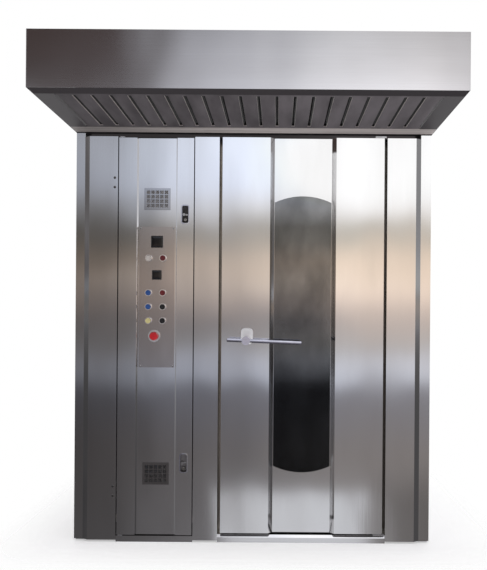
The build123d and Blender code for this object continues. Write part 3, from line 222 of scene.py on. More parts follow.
class OvenSizes(bpy.types.PropertyGroup):
    """Sizes of the small pieces that only show, and of the places where a finish changes."""

    screw_radius: length("Screw radius", "Radius of the screw heads", 0.0045)
    screw_height: length("Screw height", "Height of the screw heads", 0.0022)
    hinge_screw_radius: length("Hinge screw radius", "Radius of the hinge screws' heads", 0.0065)
    screw_inset: length("Screw inset", "Distance of a plate's screws from its edges", 0.008)
    hinge_screw_gap: length("Hinge screw gap", "Distance between the two screws of a hinge", 0.048)
    lower_hinge: length("Lower hinge", "Height of the service door's lower hinge screws", 0.26)
    upper_hinge: length("Upper hinge", "Height of the service door's upper hinge screws", 1.835)
    pan_height: length("Pan height", "Height of a latch cup's plate", 0.1)
    barrel_radius: length("Barrel radius", "Radius of the latches' lock barrels", 0.0085)
    barrel_drop: length("Barrel drop", "Distance of a lock barrel below its latch's middle", 0.028)
    barrel_sink: length("Barrel sink", "Depth of a lock barrel's foot in the floor of its cup", 0.0012)
    barrel_back: length("Barrel back", "Distance of a lock barrel's face behind its plate's face", 0.0008)
    lower_display: length("Lower display", "Width and height of the lower display", 0.048)
    lens_margin: length("Lens margin", "Width of the rim round a display's lens", 0.004)
    lens_height: length("Lens height", "Rise of a display's lens", 0.0008)
    wire_width: length("Wire width", "Width of the vent mesh's flat wires", 0.0026)
    wire_depth: length("Wire depth", "Thickness of the vent mesh's flat wires", 0.0003)
    wire_pitch: length("Wire pitch", "Spacing of the vent mesh's wires", 0.006)
    mesh_width: length("Mesh width", "Width of the mesh behind a vent", 0.114)
    mesh_height: length("Mesh height", "Height of the mesh behind a vent", 0.091)
    vent_height: length("Vent height", "Height of a vent's plate", 0.112)
    # Heights between which the panes' reflective coat grows, a painted sheen on the upper panes
    pane_sheen_low: length("Pane clean", "Height below which the window's panes are clean", 0.81)
    pane_sheen_high: length("Pane filmed", "Height above which the panes have a bright film", 1.06)
    gutter_width: length("Gutter width", "Width of the gutter along the rear of the hood", 0.0965)
    sheet_waves: length("Sheet waves", "Depth of the slow waves of the sheet", 0.0030)
    door_stile: length("Door stile", "Width of the door's flat stiles", 0.245)
    door_fold: length("Door fold", "Width of a sloping fold and its margin beside the window", 0.024)
    service_stile: length("Service stile", "Width of the service door's left stile", 0.093)
    service_fold: length("Service fold", "Width of the sloping folds of the service door", 0.006)
    corner_fold: length("Corner fold", "Width of the sloping folds at the front corners", 0.028)
    left_flange: length("Left flange", "Width of the set-back flange at the left corner", 0.044)
    right_flange: length("Right flange", "Width of the set-back flange at the right corner", 0.052)
    # Heights and fade of the painted shade on the door's folds and on the service door's fold
    fold_shade_low: length("Handled low", "Height from which hands have dulled the door's folds", 0.70)
    fold_shade_high: length("Handled high", "Height up to which hands have dulled the door's folds", 1.80)
    service_fold_shade_top: length("Splashed high", "Height up to which the service door's fold is dull", 1.0)
    shade_fade: length("Dull fade", "Height over which a dulled place fades", 0.20)
    # Depth and thickness of the folded edges that are painted dark as shade in the gaps
    edge_start: length("Edge start", "Depth at which the soil on the folded edges starts", 0.002)
    edge_skin: length("Edge skin", "Thickness of the folded edges that are soiled", 0.0012)


class OvenStage(bpy.types.PropertyGroup):
    """Camera, floor and light."""

    eye: FloatVectorProperty(
        name="Eye", description="Place of the camera", default=(0.129, -3.862, 1.174), size=3,
        subtype="TRANSLATION", unit="LENGTH",
    )
    vanishing_column: pixels("Vanishing column", "Column of the picture that lies straight ahead", 278.0)
    vanishing_row: pixels("Vanishing row", "Row of the picture that lies straight ahead", 313.0)
    focal_pixels: pixels("Focal length", "Focal length of the camera", 689.0)
    roll: FloatProperty(
        name="Roll", description="Turn of the camera about its line of sight", default=math.radians(0.43),
        subtype="ANGLE", unit="ROTATION",
    )
    floor: colour("Floor", "Colour of the floor", (0.9, 0.9, 0.9))
    floor_tone: FloatProperty(
        name="Floor tone", description="Share of the floor's colour at its dull places", default=0.98,
        min=0.0, max=1.0, subtype="FACTOR",
    )
    floor_reach: length("Floor reach", "Reach of the floor around the oven", 0.45)
    floor_glow: FloatProperty(name="Floor glow", description="Glow of the floor round the oven", default=0.42)
    floor_shade: length("Floor shade", "Distance over which the floor's glow fades under the oven", 0.1)
    floor_fade: length("Floor fade", "Distance over which the floor's edge fades", 0.38)
    lamp_length: length("Lamp length", "Length of the lamp that lights the hood from below", 1.8)
    lamp_width: length("Lamp width", "Width of the lamp that lights the hood from below", 0.5)
    lamp_height: length("Lamp height", "Height of the lamp that lights the hood from below", 0.1)
    lamp_power: FloatProperty(
        name="Lamp power", description="Power of the lamp that lights the hood from below", default=14.0,
        unit="POWER",
    )


def make_mesh(name, points, faces, body, slot, material):
    """A new piece from arrays of points and faces, riding on a body."""
    mesh = bpy.data.meshes.new(name)
    mesh.from_pydata(points.reshape(-1, 3).tolist(), [], faces.tolist())
    mesh.update()
    mesh.shade_smooth()
    piece = bpy.data.objects.new(name, mesh)
    bpy.context.scene.collection.objects.link(piece)
    piece.data.materials.append(material)
    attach(piece, body)


def grid_faces(rows, columns):
    """Quads of a grid of rows by columns of points, row by row, closed from the last column to the first."""
    row = np.arange(rows - 1)[:, None]
    column = np.arange(columns)[None, :]
    after = (column + 1) % columns
    here, above = row * columns, (row + 1) * columns
    corners = (here + column, here + after, above + after, above + column)
    return np.stack(np.broadcast_arrays(*corners), -1).reshape(-1, 4)


def domed_heads(places, half_width, half_height, rise, square=2.0, flat=2.0, rows=12, columns=48):
    """Heads that face the front, one at each place: a point at share r of the way out and angle a lies at r
    times the superellipse of exponent square, and stands out by rise times (1 - r ** flat) ** (1 / flat)."""
    share = (1.0 - np.linspace(0.0, 1.0, rows) ** 2)[:, None]
    angle = np.linspace(0.0, 2 * np.pi, columns, endpoint=False)[None, :]
    across = np.sign(np.cos(angle)) * np.abs(np.cos(angle)) ** (2 / square)
    up = np.sign(np.sin(angle)) * np.abs(np.sin(angle)) ** (2 / square)
    out = rise * (1.0 - share ** flat) ** (1 / flat) * np.ones_like(angle)
    head = np.stack([half_width * share * across, -out, half_height * share * up], -1).reshape(-1, 3)
    points = np.concatenate([head + np.array(place) for place in places])
    faces = grid_faces(rows, columns)
    return points, np.concatenate([faces + i * rows * columns for i in range(len(places))])


def woven_mesh(middles, width, height, pitch, half_width, half_depth, sides=8, steps=4):
    """Mesh of flat wires across the front, one at each middle: a wire at share t of its length lies half a
    wire's depth before or behind the middle plane, by the cosine of pi times its length over the pitch, and
    turns over from wire to wire; its section is a flat ellipse round that line, and runs the other way round
    on upright wires."""
    points, faces, count = [], [], 0
    for run, cross, along, aside in ((width, height, 0, 2), (height, width, 2, 0)):
        angle = np.linspace(0.0, (1 - along) * 2 * np.pi, sides, endpoint=False)[None, :]
        places = np.arange(-cross / 2 + pitch / 2, cross / 2, pitch)
        far = np.linspace(-run / 2, run / 2, steps * int(run / pitch) + 1)[:, None]
        for i, place in enumerate(places):
            turn = np.pi * (i + along / 2)
            wire = np.zeros((far.size, sides, 3))
            wire[..., along] = far
            wire[..., 1] = half_depth * (np.cos(np.pi * far / pitch + turn) + np.cos(angle))
            wire[..., aside] = place + half_width * np.sin(angle)
            for middle in middles:
                points.append(wire.reshape(-1, 3) + np.array(middle))
                faces.append(grid_faces(far.size, sides) + count)
                count += far.size * sides
    return np.concatenate(points), np.concatenate(faces)


class NodeTree:
    """Nodes of a material or of the world that are built up step by step."""

    def __init__(self, tree):
        self.nodes = tree.nodes
        self.links = tree.links

    def feed(self, socket, value):
        """Links an output to a socket, or sets the socket to a plain value."""
        if isinstance(value, bpy.types.NodeSocket):
            self.links.new(value, socket)
        else:
            socket.default_value = value

    def maths(self, operation, first, second, clamp=False):
        """A sum, product or the like of two outputs or numbers."""
        node = self.nodes.new("ShaderNodeMath")
        node.operation = operation
        node.use_clamp = clamp
        self.feed(node.inputs[0], first)
        self.feed(node.inputs[1], second)
        return node.outputs["Value"]

    def product(self, factors):
        """The product of some outputs."""
        whole = factors[0]
        for factor in factors[1:]:
            whole = self.maths("MULTIPLY", whole, factor)
        return whole

    def colour_maths(self, operation, *values):
        """A sum, product or the like of colours, channel by channel."""
        node = self.nodes.new("ShaderNodeVectorMath")
        node.operation = operation
        for socket, value in zip(node.inputs, values):
            self.feed(socket, value)
        return node.outputs["Vector"]

    def ranged(self, factor, low, high, start=0.3, end=0.7, smooth=False):
        """A factor mapped from start..end to low..high, evenly or with smooth ends."""
        node = self.nodes.new("ShaderNodeMapRange")
        if smooth:
            node.interpolation_type = "SMOOTHSTEP"
        node.inputs["From Min"].default_value = start
        node.inputs["From Max"].default_value = end
        node.inputs["To Min"].default_value = low
        node.inputs["To Max"].default_value = high
        self.links.new(factor, node.inputs["Value"])
        return node.outputs["Result"]

    def blend(self, factor, stops):
        """Colours along a factor, from (place, colour) stops."""
        ramp = self.nodes.new("ShaderNodeValToRGB")
        ramp.color_ramp.elements[0].position = stops[0][0]
        ramp.color_ramp.elements[1].position = stops[-1][0]
        for place, _ in stops[1:-1]:
            ramp.color_ramp.elements.new(place)
        for element, (_, shade) in zip(ramp.color_ramp.elements, stops):
            element.color = (*shade, 1.0)
        self.links.new(factor, ramp.inputs["Fac"])
        return ramp.outputs["Color"]

    def bands(self, factor, reach, stops):
        """Colours along a factor that runs from -reach to reach, from (place, colour) stops."""
        share = self.maths("ADD", self.maths("MULTIPLY", factor, 0.5 / reach), 0.5, clamp=True)
        return self.blend(share, [((place + reach) / (2 * reach), shade) for place, shade in stops])

    def cover(self, factor, under, over):
        """A colour output that gives way to another output or a plain colour where the factor is one."""
        node = self.nodes.new("ShaderNodeMix")
        node.data_type = "RGBA"
        self.links.new(factor, node.inputs["Factor"])
        self.links.new(under, node.inputs[6])
        self.feed(node.inputs[7], over if isinstance(over, bpy.types.NodeSocket) else (*over, 1.0))
        return node.outputs[2]


class Finish(NodeTree):
    """A node material on Object coordinates."""

    def __init__(self, name):
        self.material = bpy.data.materials.new(name)
        self.material.use_nodes = True
        super().__init__(self.material.node_tree)
        self.shader = self.nodes["Principled BSDF"]
        self.place = self.nodes.new("ShaderNodeTexCoord").outputs["Object"]
        self.normal = None

    def noise(self, scale, detail):
        """Smooth noise, finer along the axes with a larger scale."""
        mapping = self.nodes.new("ShaderNodeMapping")
        mapping.inputs["Scale"].default_value = scale
        self.links.new(self.place, mapping.inputs["Vector"])
        texture = self.nodes.new("ShaderNodeTexNoise")
        texture.inputs["Scale"].default_value = 1.0
        texture.inputs["Detail"].default_value = detail
        self.links.new(mapping.outputs["Vector"], texture.inputs["Vector"])
        return texture.outputs["Fac"]

    def bump(self, height, strength, distance):
        """Relief from a height, on top of the relief before it."""
        node = self.nodes.new("ShaderNodeBump")
        node.inputs["Strength"].default_value = strength
        node.inputs["Distance"].default_value = distance
        self.links.new(height, node.inputs["Height"])
        if self.normal is not None:
            self.links.new(self.normal, node.inputs["Normal"])
        self.normal = node.outputs["Normal"]
        self.link("Normal", self.normal)

    def axis(self, name):
        """One of the Object coordinates."""
        parts = self.nodes.new("ShaderNodeSeparateXYZ")
        self.links.new(self.place, parts.inputs["Vector"])
        return parts.outputs[name]

    def inside(self, low, high, edge=0.0003, fade=0.0003):
        """One within a box, nought outside it, over a narrow edge at its sides and a fade at its top and
        bottom; a bound of None leaves that side open."""
        steps = []
        for name, first, last in zip("XYZ", low, high):
            reach = fade if name == "Z" else edge
            for bound, way in ((first, 1.0), (last, -1.0)):
                if bound is not None:
                    steps.append(self.ranged(self.axis(name), 0.0, 1.0, bound, bound + way * reach))
        return self.product(steps)

    def set(self, **values):
        """Plain values of the shader, by socket name with underscores for spaces."""
        for name, value in values.items():
            self.shader.inputs[name.replace("_", " ")].default_value = value
        return self

    def link(self, socket, output):
        """Feeds a shader socket."""
        self.links.new(output, self.shader.inputs[socket])


def toned(shade, share):
    """A share of a colour."""
    return tuple(share * channel for channel in shade)


def sheet_steel(look):
    """Colours and gloss of the brushed sheet."""
    return {"light": look.steel, "dark": look.steel_shade, "roughness": look.steel_roughness}


def worn(look, name):
    """One of the finishes' colours, and what is left of it at its worn places."""
    shade = getattr(look, name)
    return {"light": shade, "dark": toned(shade, WORN_SHARE[name])}


def brushed(
    name, light, dark, roughness, grain, wear=2.2, filmed=(), film=(), waves=0.0, shade_painted=(), fade=0.0
):
    """Brushed sheet: fine streaks along the grain, with cloudy wear in colour and gloss, slow waves of the
    sheet, painted shade as darker metal within some boxes, each with the share of its colour that is left,
    and painted shade as a dull colour within others."""
    finish = Finish(name).set(Metallic=1.0)
    streaks = finish.noise(grain, detail=2.0)
    along, across = 0.4 * wear, 1.6 * wear
    clouds = finish.noise([along if fineness < COARSE_GRAIN else across for fineness in grain], detail=4.0)
    shade = finish.blend(clouds, [(0.3, dark), (0.62, light)])
    # Painted shade: darker metal within the given boxes
    for low, high, share in shade_painted:
        shade = finish.cover(finish.inside(low, high, fade=fade), shade, toned(dark, share))
    # Painted shade: a dull, dark colour within the given boxes
    painted_over_masks = [finish.inside(low, high) for low, high in filmed]
    for part in painted_over_masks:
        shade = finish.cover(part, shade, film)
    if painted_over_masks:
        whole = painted_over_masks[0]
        for part in painted_over_masks[1:]:
            whole = finish.maths("MAXIMUM", whole, part)
        finish.link("Metallic", finish.ranged(whole, low=1.0, high=0.0, start=0.0, end=1.0))
        finish.set(Specular_IOR_Level=0.0)
    finish.link("Base Color", shade)
    finish.link("Roughness", finish.ranged(clouds, low=1.25 * roughness, high=0.85 * roughness))
    if waves:
        finish.bump(finish.noise((3.2, 3.2, 1.7), detail=1.0), strength=1.0, distance=waves)
    finish.bump(streaks, strength=0.06, distance=0.0004)
    return finish.material


def moulded(name, shade, roughness):
    """Moulded plastic or rubber: a faint orange-peel relief and a slight change of tone."""
    finish = Finish(name).set(Metallic=0.0)
    grain = finish.noise((420.0, 420.0, 420.0), detail=2.0)
    clouds = finish.noise((35.0, 35.0, 35.0), detail=3.0)
    dull = toned(shade, WORN_SHARE["moulding"])
    finish.link("Base Color", finish.blend(clouds, [(0.3, dull), (0.7, shade)]))
    finish.link("Roughness", finish.ranged(grain, low=0.85 * roughness, high=1.2 * roughness))
    finish.bump(grain, strength=0.08, distance=0.0002)
    return finish.material


def worn_metal(name, light, dark, roughness, metallic=1.0, blotching=18.0):
    """Turned, cast or painted machine metal with blotches of wear."""
    finish = Finish(name).set(Metallic=metallic)
    fine = 14 * blotching
    blotches = finish.noise((blotching, blotching, blotching), detail=5.0)
    grain = finish.noise((fine, fine, fine), detail=3.0)
    finish.link("Base Color", finish.blend(blotches, [(0.35, dark), (0.65, light)]))
    finish.link("Roughness", finish.ranged(grain, low=0.8 * roughness, high=1.2 * roughness))
    finish.bump(grain, strength=0.15, distance=0.0005)
    return finish.material


def shaded_filters(look, sizes):
    """Filter steel painted dark as shade under the hood, lighter towards the right, with a painted highlight
    along the lower edges and deep painted shade above them."""
    finish = Finish("filmed_steel").set(Roughness=0.6, Specular_IOR_Level=0.05)
    blotches = finish.noise((14.0, 3.0, 14.0), detail=5.0)
    deep_shade, light_shade, hidden = (toned(look.hood_shade, HOOD_SHADE_SHARE[name]) for name in ("deep_shade", "light_shade", "hidden"))
    low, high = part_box("baffle_filters")
    # Painted shade: the filters are painted darker at the left and lighter towards the right
    lighter_to_right = finish.ranged(finish.axis("X"), low=0.0, high=0.5, start=low.x, end=high.x)
    spread = finish.maths("ADD", finish.ranged(blotches, low=0.0, high=0.5), lighter_to_right)
    shade = finish.blend(spread, [(0.15, deep_shade), (0.85, light_shade)])
    # Painted highlight of the gutter's colour along the lower edges, and deep painted shade above them
    rim, inner = low.z + sizes.edge_skin / 4, low.z + 4 * sizes.edge_skin
    edges = finish.inside((None, None, rim), (None, None, inner))
    above = finish.inside((None, None, inner), (None, None, None))
    shade = finish.cover(edges, shade, look.gutter_colour)
    finish.link("Base Color", finish.cover(above, shade, hidden))
    finish.bump(blotches, strength=0.2, distance=0.0006)
    return finish.material


def shaded_gutter(look, sizes):
    """Gutter steel with smears, painted darker towards the left as shade, and painted shade on the ledges
    before it.
    """
    finish = Finish("gutter_steel").set(Roughness=0.5, Specular_IOR_Level=0.2)
    smears = finish.noise((2.5, 40.0, 40.0), detail=4.0)
    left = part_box("baffle_filters")[0].x
    # Painted shade: the gutter is painted darker towards the left
    lighter_to_right = finish.ranged(finish.axis("X"), low=0.0, high=0.6, start=left, end=0.0)
    spread = finish.maths("ADD", finish.ranged(smears, low=0.0, high=0.4), lighter_to_right)
    shade = finish.blend(spread, [(0.15, toned(look.gutter_colour, GUTTER_SHADE_SHARE)), (0.85, look.gutter_colour)])
    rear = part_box("hood_gutter")[1].y - sizes.gutter_width
    # Painted shade on the ledges before the gutter
    ledges = finish.inside((None, None, None), (None, rear, None))
    finish.link("Base Color", finish.cover(ledges, shade, toned(look.hood_shade, HOOD_SHADE_SHARE["ledges"])))
    finish.bump(smears, strength=0.1, distance=0.0005)
    return finish.material


def tinted_pane(look, sizes):
    """Tinted glass with a faint haze, and a painted sheen: a reflective coat that grows towards the top."""
    finish = Finish("tinted_pane").set(Transmission_Weight=1.0, IOR=1.15, Coat_IOR=2.3, Coat_Roughness=0.03)
    haze = finish.noise((9.0, 9.0, 5.0), detail=4.0)
    tint = worn(look, "glass")
    finish.link("Base Color", finish.blend(haze, [(0.3, tint["dark"]), (0.7, tint["light"])]))
    finish.link("Roughness", finish.ranged(haze, low=0.02, high=0.05))
    # Painted sheen: the coat grows towards the top of the panes
    film = finish.ranged(finish.axis("Z"), low=0.15, high=0.95, start=sizes.pane_sheen_low, end=sizes.pane_sheen_high)
    patches = finish.ranged(haze, low=0.75, high=1.25)
    finish.link("Coat Weight", finish.maths("MULTIPLY", film, patches))
    return finish.material


def mineral_wool():
    """Slabs of loose fibres."""
    finish = Finish("mineral_wool").set(Roughness=0.95)
    fibres = finish.noise((60.0, 60.0, 400.0), detail=6.0)
    finish.link("Base Color", finish.blend(fibres, [(0.3, (0.36, 0.31, 0.20)), (0.7, (0.58, 0.52, 0.38))]))
    finish.bump(fibres, strength=0.6, distance=0.003)
    return finish.material


def dress(material, *names):
    """Puts a material on CAD nodes."""
    for name in names:
        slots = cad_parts[name].data.materials
        slots.clear()
        slots.append(material)


def folded_edges(node, sides, sizes):
    """The boxes round a front piece's folded edges, behind its face, at its low (0) or high (1) side."""
    low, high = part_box(node)
    start, skin = low.y + sizes.edge_start, sizes.edge_skin
    edges = (low.x, high.x)
    return [((edges[side] - skin, start, None), (edges[side] + skin, None, None)) for side in sides]


def upright_strip(first, last, foot=None, top=None):
    """The box between two places along x, open in depth, and in height where no foot or top is given."""
    return (first, None, foot), (last, None, top)


def fold_shade_boxes(sizes):
    """For each front piece, the boxes round its folds and jambs that are painted darker as shade, each with
    the share of the metal's colour that is left: the door's folds between two heights, the service door's
    fold near the floor, the jambs beside the door and the folds at the oven's corners."""
    share = FOLD_SHADE_SHARE
    low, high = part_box("door_leaf")
    folds = (low.x + sizes.door_stile, high.x - sizes.door_stile - sizes.door_fold)
    shaded_folds = [upright_strip(x, x + sizes.door_fold, sizes.fold_shade_low, sizes.fold_shade_high) for x in folds]
    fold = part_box("service_door_leaf")[0].x + sizes.service_stile
    low_fold_shade = upright_strip(fold, fold + sizes.service_fold, top=sizes.service_fold_shade_top)
    [latch_jamb] = folded_edges("front_panel_centre", (1,), sizes)
    [hinge_jamb] = folded_edges("front_panel_right", (0,), sizes)
    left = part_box("front_panel_left")[0].x + sizes.left_flange
    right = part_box("front_panel_right")[1].x - sizes.right_flange
    left_corner = upright_strip(left, left + sizes.corner_fold)
    right_corner = upright_strip(right - sizes.corner_fold, right)
    return {
        "front_panel_left": [(*left_corner, share["left_corner"])],
        "front_panel_centre": [(*latch_jamb, share["latch_jamb"])],
        "front_panel_right": [(*hinge_jamb, share["hinge_jamb"]), (*right_corner, share["right_corner"])],
        "door_leaf": [(*box, share["door_fold"]) for box in shaded_folds],
        "service_door_leaf": [(*low_fold_shade, share["service_fold"])],
    }


def lower_vent_box():
    """The box round the lower of the two vents, which is painted darker as shade."""
    low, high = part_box("vent_grilles")
    return [((None, None, None), (None, None, (low.z + high.z) / 2))]


class OVEN_OT_sheet(bpy.types.Operator):
    """Finishes the casing, the doors and their small plates"""

    bl_idname = "oven.sheet"
    bl_label = "Finish Sheet Metal"

    def execute(self, context):
        look, sizes = context.scene.oven_finish, context.scene.oven_sizes
        steel = sheet_steel(look)
        casing = brushed("casing_steel", **steel, grain=UPRIGHT_GRAIN, waves=sizes.sheet_waves)
        dress(casing, "side_panels", "rear_panel")
        level = brushed("level_steel", **steel, grain=LEVEL_GRAIN)
        dress(level, "kick_plate", "threshold", "roof_panel", "flue_spigot")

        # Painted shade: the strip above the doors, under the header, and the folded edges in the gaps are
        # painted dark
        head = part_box("door_leaf")[1].z + sizes.edge_start
        header_low, header_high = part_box("front_header")
        head_gap = upright_strip(header_low.x, header_high.x, foot=head)
        # Painted shade: darker metal on the folds and jambs of the front
        shade_painted = fold_shade_boxes(sizes)
        for node, sides in SHADED_EDGE_SIDES.items():
            sheet = brushed(
                node + "_steel", **steel, grain=UPRIGHT_GRAIN, waves=sizes.sheet_waves,
                filmed=[*folded_edges(node, sides, sizes), head_gap], film=look.painted_shade,
                shade_painted=shade_painted[node], fade=sizes.shade_fade,
            )
            dress(sheet, node)
        # Painted shade: the header over the doors is painted dark where the hood shades it
        header = brushed("shaded_steel", **worn(look, "painted_shade"), roughness=0.4, grain=LEVEL_GRAIN)
        dress(header, "front_header")

        plate = brushed("plate_steel", **worn(look, "plate"), roughness=0.13, grain=UPRIGHT_GRAIN, wear=6.0)
        dress(plate, "control_plate")
        # Painted shade: the lower vent is painted darker than the upper one
        vent = brushed(
            "vent_steel", **worn(look, "vent"), roughness=0.08, grain=LEVEL_GRAIN, filmed=lower_vent_box(),
            film=toned(look.painted_shade, VENT_SHADE_SHARE["vent"]),
        )
        dress(vent, "vent_grilles")
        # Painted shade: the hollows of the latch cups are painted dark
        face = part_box("latch_pans")[0].y
        hollow = ((None, face + sizes.edge_start, None), (None, None, None))
        pan = brushed(
            "pan_chrome", light=look.chrome, dark=look.steel, roughness=0.16, grain=UPRIGHT_GRAIN, wear=14.0,
            filmed=[hollow], film=look.cup,
        )
        dress(pan, "latch_pans")
        liner = brushed("browned_liner", **worn(look, "liner"), roughness=0.32, grain=UPRIGHT_GRAIN, wear=3.5)
        dress(liner, "chamber_liner", "chamber_duct_wall", "door_frame", "door_inner_panel")
        return {"FINISHED"}


class OVEN_OT_hood(bpy.types.Operator):
    """Finishes the hood: bright outside, with painted shade inside and below"""

    bl_idname = "oven.hood"
    bl_label = "Finish Hood"

    def execute(self, context):
        look, sizes = context.scene.oven_finish, context.scene.oven_sizes
        skin = sizes.edge_skin / 2
        low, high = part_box("hood_box")
        # Painted shade inside the hood box
        hollow = ((low.x + skin, low.y + skin, None), (high.x - skin, high.y - skin, high.z - skin))
        outside = brushed(
            "hood_steel", **sheet_steel(look), grain=LEVEL_GRAIN, waves=sizes.sheet_waves, filmed=[hollow],
            film=toned(look.hood_shade, HOOD_SHADE_SHARE["hollow"]),
        )
        dress(outside, "hood_fascia", "hood_box")
        dress(shaded_filters(look, sizes), "baffle_filters")
        dress(shaded_gutter(look, sizes), "hood_gutter")
        for name in ("hood_fascia", "hood_box", "hood_gutter", "baffle_filters"):
            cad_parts[name].visible_glossy = False
        return {"FINISHED"}


class OVEN_OT_glass(bpy.types.Operator):
    """Finishes the two tinted panes of the door's window"""

    bl_idname = "oven.glass"
    bl_label = "Finish Window"

    def execute(self, context):
        dress(tinted_pane(context.scene.oven_finish, context.scene.oven_sizes), "window_panes")
        return {"FINISHED"}


class OVEN_OT_handle(bpy.types.Operator):
    """Finishes the polished handle"""

    bl_idname = "oven.handle"
    bl_label = "Finish Handle"

    def execute(self, context):
        look = context.scene.oven_finish
        polish = {"grain": HANDLE_GRAIN, "wear": 14.0}
        dress(brushed("polished_chrome", **worn(look, "chrome"), roughness=0.1, **polish), "handle_bar")
        dress(brushed("hub_chrome", **worn(look, "hub"), roughness=0.14, **polish), "handle_hub")
        casting = worn_metal(
            "satin_casting", **worn(look, "casting"), roughness=0.35, metallic=0.0, blotching=40.0
        )
        dress(casting, "handle_boss")
        return {"FINISHED"}


class OVEN_OT_controls(bpy.types.Operator):
    """Finishes the buttons, selectors, lamp and displays"""

    bl_idname = "oven.controls"
    bl_label = "Finish Controls"

    def execute(self, context):
        look = context.scene.oven_finish
        dress(moulded("red_cap", look.red, roughness=0.3), "stop_button")
        dress(moulded("dark_red_cap", look.dark_red, roughness=0.25), "start_button", "red_button")
        dress(moulded("blue_cap", look.blue, roughness=0.25), "blue_button", "steam_button")
        dress(moulded("cream_cap", look.yellow, roughness=0.35), "lamp_button")
        dress(moulded("lamp_lens", (0.75, 0.70, 0.66), roughness=0.2), "pilot_lamp")
        black = moulded("black_moulding", (0.012, 0.012, 0.014), roughness=0.35)
        dress(black, "displays", "upper_selector", "lower_selector")
        ring = brushed(
            "ring_metal", light=(0.95, 0.95, 0.96), dark=(0.82, 0.82, 0.83), roughness=0.14, grain=RING_GRAIN,
            wear=30.0,
        )
        dress(ring, "switch_collars")
        return {"FINISHED"}


class OVEN_OT_screws(bpy.types.Operator):
    """Makes the four screws of the control plate and the four screws of the service door's hinges"""

    bl_idname = "oven.screws"
    bl_label = "Make Screws"

    def execute(self, context):
        sizes = context.scene.oven_sizes
        steel = worn_metal(
            "screw_steel", light=(0.48, 0.48, 0.49), dark=(0.34, 0.34, 0.35), roughness=0.3, blotching=200.0
        )
        inset = sizes.screw_inset
        low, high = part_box("control_plate")
        columns, rows = (low.x + inset, high.x - inset), (low.z + inset, high.z - inset)
        places = [(x, low.y, z) for x in columns for z in rows]
        head = (sizes.screw_radius, sizes.screw_radius, sizes.screw_height)
        make_mesh("plate_screws", *domed_heads(places, *head), "service_door", "machine_steel", steel)

        dark = worn_metal(
            "hinge_screw_steel", light=(0.16, 0.15, 0.15), dark=(0.08, 0.08, 0.08), roughness=0.4,
            blotching=200.0,
        )
        low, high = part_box("front_panel_left")
        half = sizes.hinge_screw_gap / 2
        rows = [z + way for z in (sizes.lower_hinge, sizes.upper_hinge) for way in (-half, half)]
        places = [(high.x - 2 * inset, low.y, z) for z in rows]
        head = (sizes.hinge_screw_radius, sizes.hinge_screw_radius, sizes.screw_height)
        make_mesh("hinge_screws", *domed_heads(places, *head), "oven", "machine_steel", dark)
        return {"FINISHED"}


class OVEN_OT_vent_mesh(bpy.types.Operator):
    """Makes the woven mesh behind the two vents"""

    bl_idname = "oven.vent_mesh"
    bl_label = "Make Vent Mesh"

    def execute(self, context):
        look, sizes = context.scene.oven_finish, context.scene.oven_sizes
        # Painted shade: the mesh behind the lower vent is painted darker
        steel = brushed(
            "mesh_steel", **worn(look, "vent"), roughness=0.1, grain=WIRE_GRAIN, wear=30.0,
            filmed=lower_vent_box(), film=toned(look.painted_shade, VENT_SHADE_SHARE["mesh"]),
        )
        low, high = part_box("vent_grilles")
        half = sizes.vent_height / 2
        centre = (low.x + high.x) / 2
        behind = high.y + sizes.wire_depth
        middles = [(centre, behind, z) for z in (low.z + half, high.z - half)]
        wire = (sizes.wire_pitch, sizes.wire_width / 2, sizes.wire_depth / 2)
        mesh = woven_mesh(middles, sizes.mesh_width, sizes.mesh_height, *wire)
        make_mesh("vent_mesh", *mesh, "service_door", "machine_steel", steel)
        return {"FINISHED"}


class OVEN_OT_lock_barrels(bpy.types.Operator):
    """Makes the lock barrels in the two latch cups"""

    bl_idname = "oven.lock_barrels"
    bl_label = "Make Lock Barrels"

    def execute(self, context):
        sizes = context.scene.oven_sizes
        metal = worn_metal(
            "barrel_metal", light=(0.30, 0.29, 0.27), dark=(0.20, 0.19, 0.18), roughness=0.25, blotching=120.0
        )
        low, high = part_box("latch_pans")
        middle = (low.x + high.x) / 2
        half = sizes.pan_height / 2
        foot = high.y - sizes.barrel_sink
        places = [(middle, foot, z - sizes.barrel_drop) for z in (low.z + half, high.z - half)]
        depth = foot - low.y - sizes.barrel_back
        barrel = domed_heads(places, sizes.barrel_radius, sizes.barrel_radius, depth, flat=14.0, rows=24)
        make_mesh("lock_barrels", *barrel, "service_door", "machine_steel", metal)
        return {"FINISHED"}


class OVEN_OT_lenses(bpy.types.Operator):
    """Makes the lenses of the two displays"""

    bl_idname = "oven.lenses"
    bl_label = "Make Lenses"

    def execute(self, context):
        sizes = context.scene.oven_sizes
        acrylic = moulded("lens_acrylic", (0.006, 0.006, 0.008), roughness=0.08)
        low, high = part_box("displays")
        middle = (low.x + high.x) / 2
        upper, lower = (high.x - low.x) / 2, sizes.lower_display / 2
        for name, half, z in (("upper_lens", upper, high.z - upper), ("lower_lens", lower, low.z + lower)):
            reach = half - sizes.lens_margin
            lens = domed_heads([(middle, low.y, z)], reach, reach, sizes.lens_height, square=12.0, flat=3.0)
            make_mesh(name, *lens, "service_door", "black_plastic", acrylic)
        return {"FINISHED"}


